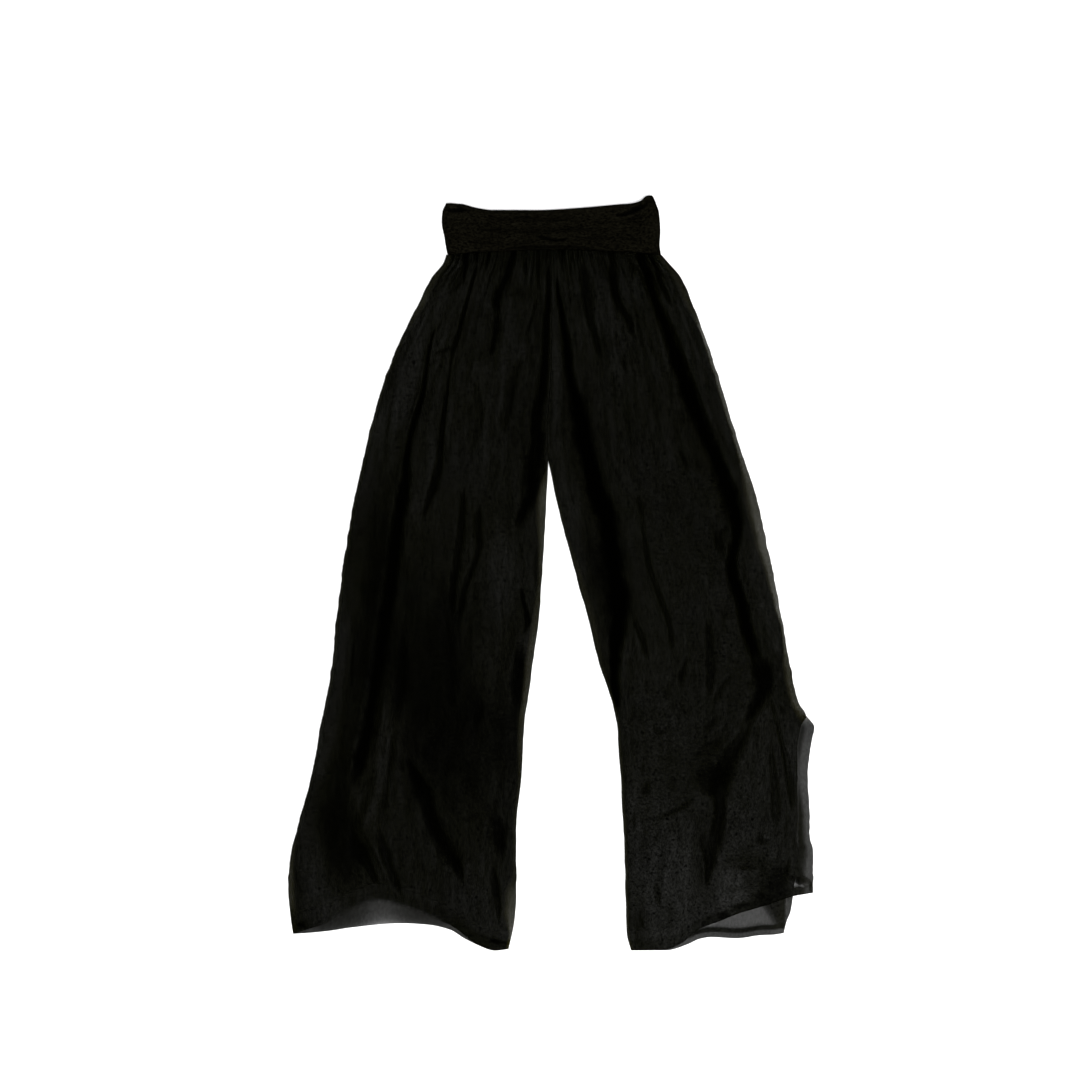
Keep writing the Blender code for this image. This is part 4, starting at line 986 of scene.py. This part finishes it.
# turned-up hem: a close line where it is stitched, line exp(-(distance / width)^2), and the doubled
# cloth under it
def hemMask(leg, x, hem, line, under, width):
    shows = np.interp(x, *zip(*leg["hemShows"]))
    stitched = line * np.minimum(1, 2 * shows) * np.exp(-((hem - front["hemWidth"]) / width) ** 2)
    return np.maximum(stitched, shows * under * rising(hem, front["hemWidth"], front["hemWidth"] - 1.5))


# painted sheen that sets the front's coat and paler colour, and painted shade where it is low: a base
# amount (1 - shade places) (1 + sheen places) (1 - shade spots), varied by fine lines and patches,
# times 1 + relief, painted shade in a hollow and painted highlight on a crest, and painted shade
# between the gathers and at the seam
def shineMask(x, y, share, down, relief, gathers):
    paintedSheenLevel = front["paintedSheenBase"] * (1 - placeField(x, y, paintedShadePlaces, blur=1.3, rough=0.7))
    paintedSheenLevel *= 1 + placeField(x, y, paintedSheenPlaces)
    paintedSheenLevel *= 1 - placeField(x, y, paintedShadeSpots, blur=0.6, rough=0.7)
    varied = softWaves(share, y, front["lines"]) + softWaves(x, y, front["patches"])
    calm = front["calm"]
    paintedSheenLevel *= 1 + varied * (calm + (1 - calm) * rising(y, *front["calmRise"]))
    paintedSheenLevel *= 1 + np.where(relief < 0, relief, front["crestShine"] * relief)
    nearSeam = np.exp(-(down / front["paintedGatherShadeReach"]) ** 2)
    paintedSheenLevel *= 1 - front["paintedGatherShade"] * nearSeam * smoothStep(0.75 - 0.7 * gathers)
    return paintedSheenLevel * (1 - front["paintedSeamShade"] * rising(down, front["paintedSeamShadeReach"], 0))


# the single cloth along the left hem: sheerMost smoothStep((depth + 1 - hem) / depth), in its middle
def bareHem(x, hem):
    depth = front["bareDepth"] + front["bareDeeper"] * rising(x, *front["bareWiden"])
    wide = rising(x, *front["bareOuter"]) * rising(x, *front["bareInner"])
    return chiffonLook["sheerMost"] * rising(hem, depth + 1, 1) * wide


# a front leg: the sheet at frontHeight, with masks for its painted sheen and shade, sheer strips and doubled
# cloth
def makeFrontLeg(name, leg, creases):
    x, y, share, down = panelGrid(leg, leg["frontHem"], front["columns"], front["rows"])
    depths = panelDepths(leg, leg["frontHem"], x, y, share)
    outer, inner, hem = depths
    pastBack = leg["side"] * (outerEdge(leg, y, True) - x)
    height, relief = creaseField(x, y, creases)
    gathers = gatherHeight(leg, share, np.abs(innerEdge(leg, y) - outerEdge(leg, y)), down)
    z = frontHeight(leg, x, y, down, depths, pastBack, gathers, height)
    turned = hemMask(leg, x, hem, *front["hemStitch"])
    opened = placeField(x, y, openPlaces, blur=0.5, rough=0.3)
    bare = bareHem(x, hem) if leg["side"] < 0 else 0.0
    strip = sheerMask(leg, outer, inner, y)
    begin = np.interp(y, *zip(*front["doubledFrom"]))
    doubled = rising(pastBack, *front["overhangEdge"])
    doubled = doubled * rising(outer, begin, begin + front["doubledBlur"])
    doubled = doubled + turned + placeField(x, y, densePlaces, blur=0.6, rough=0.5)
    # painted sheen and shade, with less painted sheen on the turned-up hem
    shine = shineMask(x, y, share, down, relief, gathers) * (1 - front["hemDark"] * turned)
    masks = {
        "shine": np.clip(shine, 0, 2.2),
        "strip": np.clip(strip, 0, 1),
        "sheer": np.clip(np.maximum(strip, np.maximum(bare, 0.5 * opened)), 0, chiffonLook["sheerMost"]),
        "dense": (1 - opened) * np.clip(doubled, 0, 1),
    }
    uv = np.stack((x, y), -1)
    piece = makeSheet(name, np.stack((x, y, z), -1), uv, front["cloth"], chiffon, masks)
    return piece


back = {
    "columns": 90, "rows": 200, "cloth": 0.35, "rest": 0.2,
    "gatherHeight": 0.7, "gatherReach": 60.0, "gatherWander": [(1.5, 1 / 9, 50.0, 31)],
    "waves": [(0.12, 9.0, 40.0, 32)],
    "foldMost": 0.8,            # no fold rises more than this
    "edgeFade": 8.0, "hemRaise": 0.25, "hemStitch": (1.25, 0.18, 3.2),
    # left hem: how opaque it is, from its middle outwards and from its edge upwards
    "opaque": 0.76, "middleX": -245.0, "middleWidth": 32.0, "middleLess": 0.1,
    "edgeLess": 0.12, "edgeReach": 9.0, "opaqueRise": (50, 30),
    "opaqueOuter": (-350, -330), "opaqueInner": (-140, -170),
    # right hem: cloth folded double behind the corner, right of a slanting line, and single past it
    "foldX": 300.0, "foldY": -481.0, "foldSlant": 0.6, "foldShade": 0.95, "foldBlur": 20.0,
    "foldOuter": (341, 337), "foldFoot": (-513, -509), "foldTop": (-440, -460),
    "single": 0.15, "singleTop": (-470, -480), "closer": 0.22, "closerFrom": (336, 340),
    "openShare": 0.15,
}

# folds of the underside rise a little off the surface that it rests on
backCreases = {
    "leftSide": ([(-200, 300, 7), (-226, 150, 9), (-240, -20, 8), (-262, -180, 7)], 0.8, 0.4),
    "leftMiddle": ([(-110, 380, 5), (-128, 240, 7), (-140, 110, 5)], 0.6, 0.3),
    "leftSeat": ([(-40, 400, 6), (-62, 300, 8), (-100, 200, 6)], 0.7, 0.3),
    "leftCalf": ([(-180, -200, 8), (-200, -320, 9), (-230, -430, 7)], 0.7, 0.3),
    "leftInner": ([(-80, -60, 5), (-96, -200, 7), (-90, -330, 6)], 0.5, 0.3),
    "rightSide": ([(190, 330, 7), (226, 180, 9), (262, 20, 8), (280, -120, 7)], 0.8, 0.4),
    "rightMiddle": ([(96, 390, 5), (128, 240, 7), (170, 90, 6)], 0.6, 0.3),
    "rightSeat": ([(34, 410, 6), (60, 290, 8), (104, 180, 6)], 0.7, 0.3),
    "rightCalf": ([(200, -120, 7), (220, -260, 9), (236, -400, 8)], 0.7, 0.3),
    "rightInner": ([(130, -150, 5), (142, -280, 7), (140, -420, 6)], 0.5, 0.3),
    "rightHemFold": ([(316, -462, 4), (318, -490, 5), (322, -512, 4)], 0.5, 0.3),
}


# the left hem's sheer mask, from how opaque it is: opaque - m - (edgeLess + m) exp(-hem / edgeReach),
# with m = middleLess exp(-((x - middleX) / middleWidth)^2)
def leftHemSheer(x, hem, sheer):
    middle = back["middleLess"] * np.exp(-((x - back["middleX"]) / back["middleWidth"]) ** 2)
    atEdge = np.exp(-np.maximum(hem, 0) / back["edgeReach"])
    opaque = back["opaque"] - middle - (back["edgeLess"] + middle) * atEdge
    wanted = (chiffonLook["alpha"] - opaque) / chiffonLook["sheerDrop"]
    atHem = rising(x, *back["opaqueOuter"]) * rising(x, *back["opaqueInner"])
    atHem = atHem * rising(hem, *back["opaqueRise"])
    return sheer + (wanted - sheer) * atHem


# the right hem's folded corner: how doubled the cloth is, and how much more sheer the single cloth,
# each an amount that smoothStep brings in past a line
def rightHemFold(x, y):
    slant = x - back["foldX"] + back["foldSlant"] * (y - back["foldY"])
    folded = back["foldShade"] * rising(slant, 0, back["foldBlur"]) * rising(x, *back["foldOuter"])
    folded = folded * rising(y, *back["foldFoot"]) * rising(y, *back["foldTop"])
    single = back["single"] * rising(y, *back["singleTop"]) - back["closer"] * rising(x, *back["closerFrom"])
    single = single + back["openShare"] * placeField(x, y, openPlaces, blur=0.5, rough=0.3)
    return folded, single


# a back leg lies on the surface: gathers 0.5 - 0.5 cos(2 pi n share) near the waist, low folds, and
# its turned-up hem
def makeBackLeg(name, leg):
    x, y, share, down = panelGrid(leg, leg["backHem"], back["columns"], back["rows"], back=True)
    outer, inner, hem = panelDepths(leg, leg["backHem"], x, y, share, back=True)
    height, relief = creaseField(x, y, backCreases)
    turns = 2 * np.pi * front["gathers"] * share + softWaves(share, down, back["gatherWander"])
    rise = back["gatherHeight"] * (0.5 - 0.5 * np.cos(turns)) * rising(down, back["gatherReach"], 0)
    rise = rise + np.clip(height + softWaves(x, y, back["waves"]), 0, back["foldMost"])
    inside = rising(outer, 0, back["edgeFade"]) * rising(inner, 0, back["edgeFade"])
    inside = inside * rising(hem, 0, back["edgeFade"])
    z = back["rest"] + np.minimum(rise, back["foldMost"]) * inside
    z = z + back["hemRaise"] * rising(hem, front["hemWidth"], front["hemWidth"] - front["hemStep"])
    turned = hemMask(leg, x, hem, *back["hemStitch"])
    strip = sheerMask(leg, outer, inner, y)
    if leg["side"] > 0:
        folded, single = rightHemFold(x, y)
        turned = np.maximum(turned, folded)
        sheer = strip + single
    else:
        sheer = leftHemSheer(x, hem, strip)
    masks = {
        # painted sheen: half everywhere, more on the crests of the underside's folds
        "shine": np.clip(0.5 * (1 + relief), 0, 1),
        "strip": np.clip(strip, 0, 1),
        "sheer": np.clip(sheer, -0.5, chiffonLook["sheerMost"]),
        "dense": np.clip(turned, 0, 1.25),
    }
    uv = np.stack((x, y), -1)
    piece = makeSheet(name, np.stack((x, y, z), -1), uv, back["cloth"], chiffon, masks, up=False)
    return piece


lining = {
    "columns": 70, "rows": 120, "cloth": 0.4, "rest": 0.78,
    "rise": 0.75, "waves": [(0.2, 14.0, 60.0, 41)], "sideFade": 40.0, "hemFade": 30.0,
    "shorter": 28.0,            # how far its hem lies above the front's
    "higher": 4.0,              # how far its top runs up under the band
    "topLift": 0.6, "topFade": (14, 4),
    "flatWidth": 280.0,         # of its weave
}


# a lining leg lies between front and back, closest to the back along its edges: rest height, plus its
# rise away from them, and lifted at its top, which is sewn in a little way under the band
def makeLining(name, leg):
    inset = (leg["liningOuter"], leg["liningInner"])
    x, y, share, down = panelGrid(leg, leg["frontHem"], lining["columns"], lining["rows"],
                                  inset=inset, shorter=lining["shorter"], higher=lining["higher"])
    outer, inner, hem = panelDepths(leg, leg["frontHem"], x, y, share)
    inside = rising(outer, 0, lining["sideFade"]) * rising(inner, 0, lining["sideFade"])
    inside = inside * rising(hem, lining["shorter"], lining["shorter"] + lining["hemFade"])
    z = lining["rest"] + (lining["rise"] + softWaves(x, y, lining["waves"])) * inside
    z = z + lining["topLift"] * (1 - inside) * rising(down, *lining["topFade"])
    uv = np.stack((share * lining["flatWidth"], down), -1)
    piece = makeSheet(name, np.stack((x, y, z), -1), uv, lining["cloth"], liningCloth, {})
    return piece


band = {
    "columns": 190, "rows": 64, "cloth": 0.8,
    "rest": 0.55, "middle": 1.6, "puff": 3.4, "softness": 0.6,
    "waves": [(0.35, 26.0, 5.0, 51), (0.2, 9.0, 3.0, 52)],
    "sideCrowd": 0.6, "sideRound": 9.0, "topRound": 8.0, "topAir": 0.35,
    "turnIn": 16.0,             # how far each half turns in over the top
    "turnShare": 0.18,          # rows given to that, as a share of the others
    "turnSpeed": 1.4, "turnGap": 0.45,
    # painted shade along the band's lower seam
    "paintedSeamShade": 0.5, "paintedSeamShadeReach": 2.5,
    "flatWidth": 313.0, "flatHeight": 85.0,     # of its knit
    "top": [(-152, 536), (-129, 534.5), (-106, 529), (-82, 525.8), (-20, 525.6), (42, 529), (94, 533.8),
        (120, 536), (129, 539), (138, 546.5), (145, 547), (151, 537.5)],
    "left": [(460, -149), (468, -151), (486, -154), (509, -158), (523, -157), (535, -152)],
    "right": [(460, 159), (477, 157), (494, 158), (523, 156), (536, 151.5)],
}
bandCreases = {
    "middle": ([(-105, 500, 4), (-30, 496, 5), (70, 500, 4)], -1.6, 0.3),
    "lower": ([(-18, 487, 2), (-4, 484, 3), (10, 482, 2.5), (26, 484, 2)], -1.6, 0.85),
    "leftRoll": ([(-148, 525, 2.5), (-138, 524, 3), (-127, 526, 3), (-114, 522, 2)], -2.0, 0.8),
    "leftCorner": ([(-148, 532, 5), (-135, 530, 4)], 2.6, 0.3),
    "rightCrease": ([(98, 518, 2), (108, 520, 3), (120, 525, 4), (134, 531, 3.5),
        (142, 537, 2)], -2.4, 0.85),
    "rightCreaseLow": ([(112, 511, 2), (126, 515, 3), (140, 518, 2)], -1.4, 0.5),
    "rightPeak": ([(118, 530, 5), (142, 541, 6)], 3.6, 0.3),
    "ruchHigh": ([(-90, 514, 3), (-20, 512, 4), (40, 515, 3)], -0.8, 0.3),
    "ruchLow": ([(-120, 480, 2.5), (-70, 477, 3), (-20, 479, 2.5)], -0.8, 0.25),
    "ruchRight": ([(40, 484, 2.5), (90, 487, 3), (130, 484, 2.5)], -0.8, 0.25),
    "ruchSide": ([(60, 508, 2.5), (110, 510, 3), (145, 506, 2.5)], -0.9, 0.25),
    "ruchLeft": ([(-140, 505, 2.5), (-112, 507, 3), (-84, 505, 2.5)], -0.8, 0.25),
    "seamShade": ([(-60, 470, 2), (-20, 472, 2.5), (30, 472, 2.5), (62, 470, 2)], -1.0, 0.6),
}


# the band is a flattened tube, front half over back half: middle + (surface - middle) quarterRound of
# the distance to its sides; over the top fold each half turns in again, by turnIn sin(pi / 2 t)
def makeBand(name):
    half = band["columns"] // 2
    t = np.linspace(0, 1, half + 1)
    across = t - band["sideCrowd"] * np.sin(2 * np.pi * t) / (2 * np.pi)
    share = np.concatenate((across, across[-2:0:-1]))[None, :]
    upper = np.concatenate((np.ones(half + 1), -np.ones(half - 1)))[None, :]
    v = np.linspace(0, 1 + band["turnShare"], band["rows"])[:, None]
    rise = np.minimum(v, 1.0)
    folded = np.maximum(v - 1.0, 0.0) / band["turnShare"]
    wide = band["top"][0][0] + (band["top"][-1][0] - band["top"][0][0]) * share
    low = seamLine(2 * share - 1) + waist["seamGap"] / 2
    top = throughPairs(band["top"], wide)
    y = low + (top - low) * rise - band["turnIn"] * np.sin(folded * np.pi / 2)
    left = throughPairs(band["left"], y)
    right = throughPairs(band["right"], y)
    x = left + (right - left) * share
    height, relief = creaseField(x, y, bandCreases)
    lift = (band["puff"] + softWaves(x, y, band["waves"]) + height) / band["softness"]
    lift = band["softness"] * np.logaddexp(0.0, lift)
    lift = lift * (band["topAir"] + (1 - band["topAir"]) * quarterRound((top - y + 1) / band["topRound"]))
    surface = np.where(upper > 0, band["middle"] + lift, band["rest"])
    turned = band["middle"] + band["turnGap"] * upper
    surface = surface + (turned - surface) * smoothStep(folded * band["turnSpeed"])
    side = np.minimum(x - left, right - x)
    z = band["middle"] + (surface - band["middle"]) * quarterRound(side / band["sideRound"])
    # the fold mask: painted shade along the lower seam and in the creases of the front half
    atSeam = band["paintedSeamShade"] * rising(rise * (top - low), band["paintedSeamShadeReach"], 0)
    fold = np.maximum(np.clip(-relief, 0, 1) * (upper > 0), atSeam)
    uv = np.stack((upper * share * band["flatWidth"] + 0 * x, v * band["flatHeight"] + 0 * x), -1)
    piece = makeSheet(name, np.stack((x, y, z), -1), uv, band["cloth"], jersey, {"fold": fold}, wrap=True)
    return piece


frontLeft = makeFrontLeg("frontLegLeft", legs["left"], leftCreases)
frontRight = makeFrontLeg("frontLegRight", legs["right"], rightCreases)
backLeft = makeBackLeg("backLegLeft", legs["left"])
backRight = makeBackLeg("backLegRight", legs["right"])
liningLeft = makeLining("liningLeft", legs["left"])
liningRight = makeLining("liningRight", legs["right"])
waistband = makeBand("waistband")

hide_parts("front_leg_left")
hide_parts("front_leg_right")
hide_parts("back_leg_left")
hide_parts("back_leg_right")
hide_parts("lining_left")
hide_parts("lining_right")
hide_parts("waistband_front", "waistband_back")

print("trousers made")

studio = {
    "frameWidth": 1566.0,       # width of the view on the floor
    "centre": (-16.0, 48.0),
    "cameraHeight": 2200.0,
    "sensor": 36.0,
    "lights": {                 # place, size, power
        "key": ((1000.0, -1900.0, 3000.0), 2200.0, 150.0),
        "top": ((0.0, 0.0, 4200.0), 6400.0, 230.0),
    },
    "world": 0.35,
    "floorReach": 6000.0, "floorZ": -0.4,
    "floor": {"gloss": 0.1, "rough": 0.9}, "floorColour": (0.9, 0.9, 0.9, 1.0),
}


# a wide, flat, pale floor just under the trousers
def makeStage():
    reach = studio["floorReach"] * mm
    z = studio["floorZ"] * mm
    corners = [(-reach, -reach, z), (reach, -reach, z), (reach, reach, z), (-reach, reach, z)]
    mesh = bpy.data.meshes.new("floor")
    mesh.from_pydata(corners, [], [(0, 1, 2, 3)])
    material, _, shader = newMaterial("paleFloor", studio["floor"])
    shader.inputs["Base Color"].default_value = studio["floorColour"]
    mesh.materials.append(material)
    floor = bpy.data.objects.new("floor", mesh)
    bpy.context.scene.collection.objects.link(floor)


# a square soft light at a place, turned to face the middle of the floor
def makeLight(name, place, size, power):
    data = bpy.data.lights.new(name, "AREA")
    data.energy = power
    data.size = size * mm
    light = bpy.data.objects.new(name, data)
    bpy.context.scene.collection.objects.link(light)
    light.location = [value * mm for value in place]
    toX, toY, toZ = (0.0 - value for value in place)
    lean = math.atan2(math.hypot(toX, toY), -toZ)
    light.rotation_euler = (lean, 0.0, math.atan2(toX, -toY) + math.pi)


# the camera looks straight down, with a lens of sensor width times height / frame width
def makeCamera():
    data = bpy.data.cameras.new("camera")
    data.sensor_width = studio["sensor"]
    data.lens = studio["sensor"] * studio["cameraHeight"] / studio["frameWidth"]
    camera = bpy.data.objects.new("camera", data)
    bpy.context.scene.collection.objects.link(camera)
    camera.location = [value * mm for value in (*studio["centre"], studio["cameraHeight"])]
    bpy.context.scene.camera = camera


makeStage()
for name, (place, size, power) in studio["lights"].items():
    makeLight(name, place, size, power)
makeCamera()
world = bpy.data.worlds.new("studio")
world.use_nodes = True
world.node_tree.nodes["Background"].inputs["Color"].default_value = (1.0, 1.0, 1.0, 1.0)
world.node_tree.nodes["Background"].inputs["Strength"].default_value = studio["world"]
bpy.context.scene.world = world
bpy.context.scene.view_settings.view_transform = "Standard"
print("studio made")
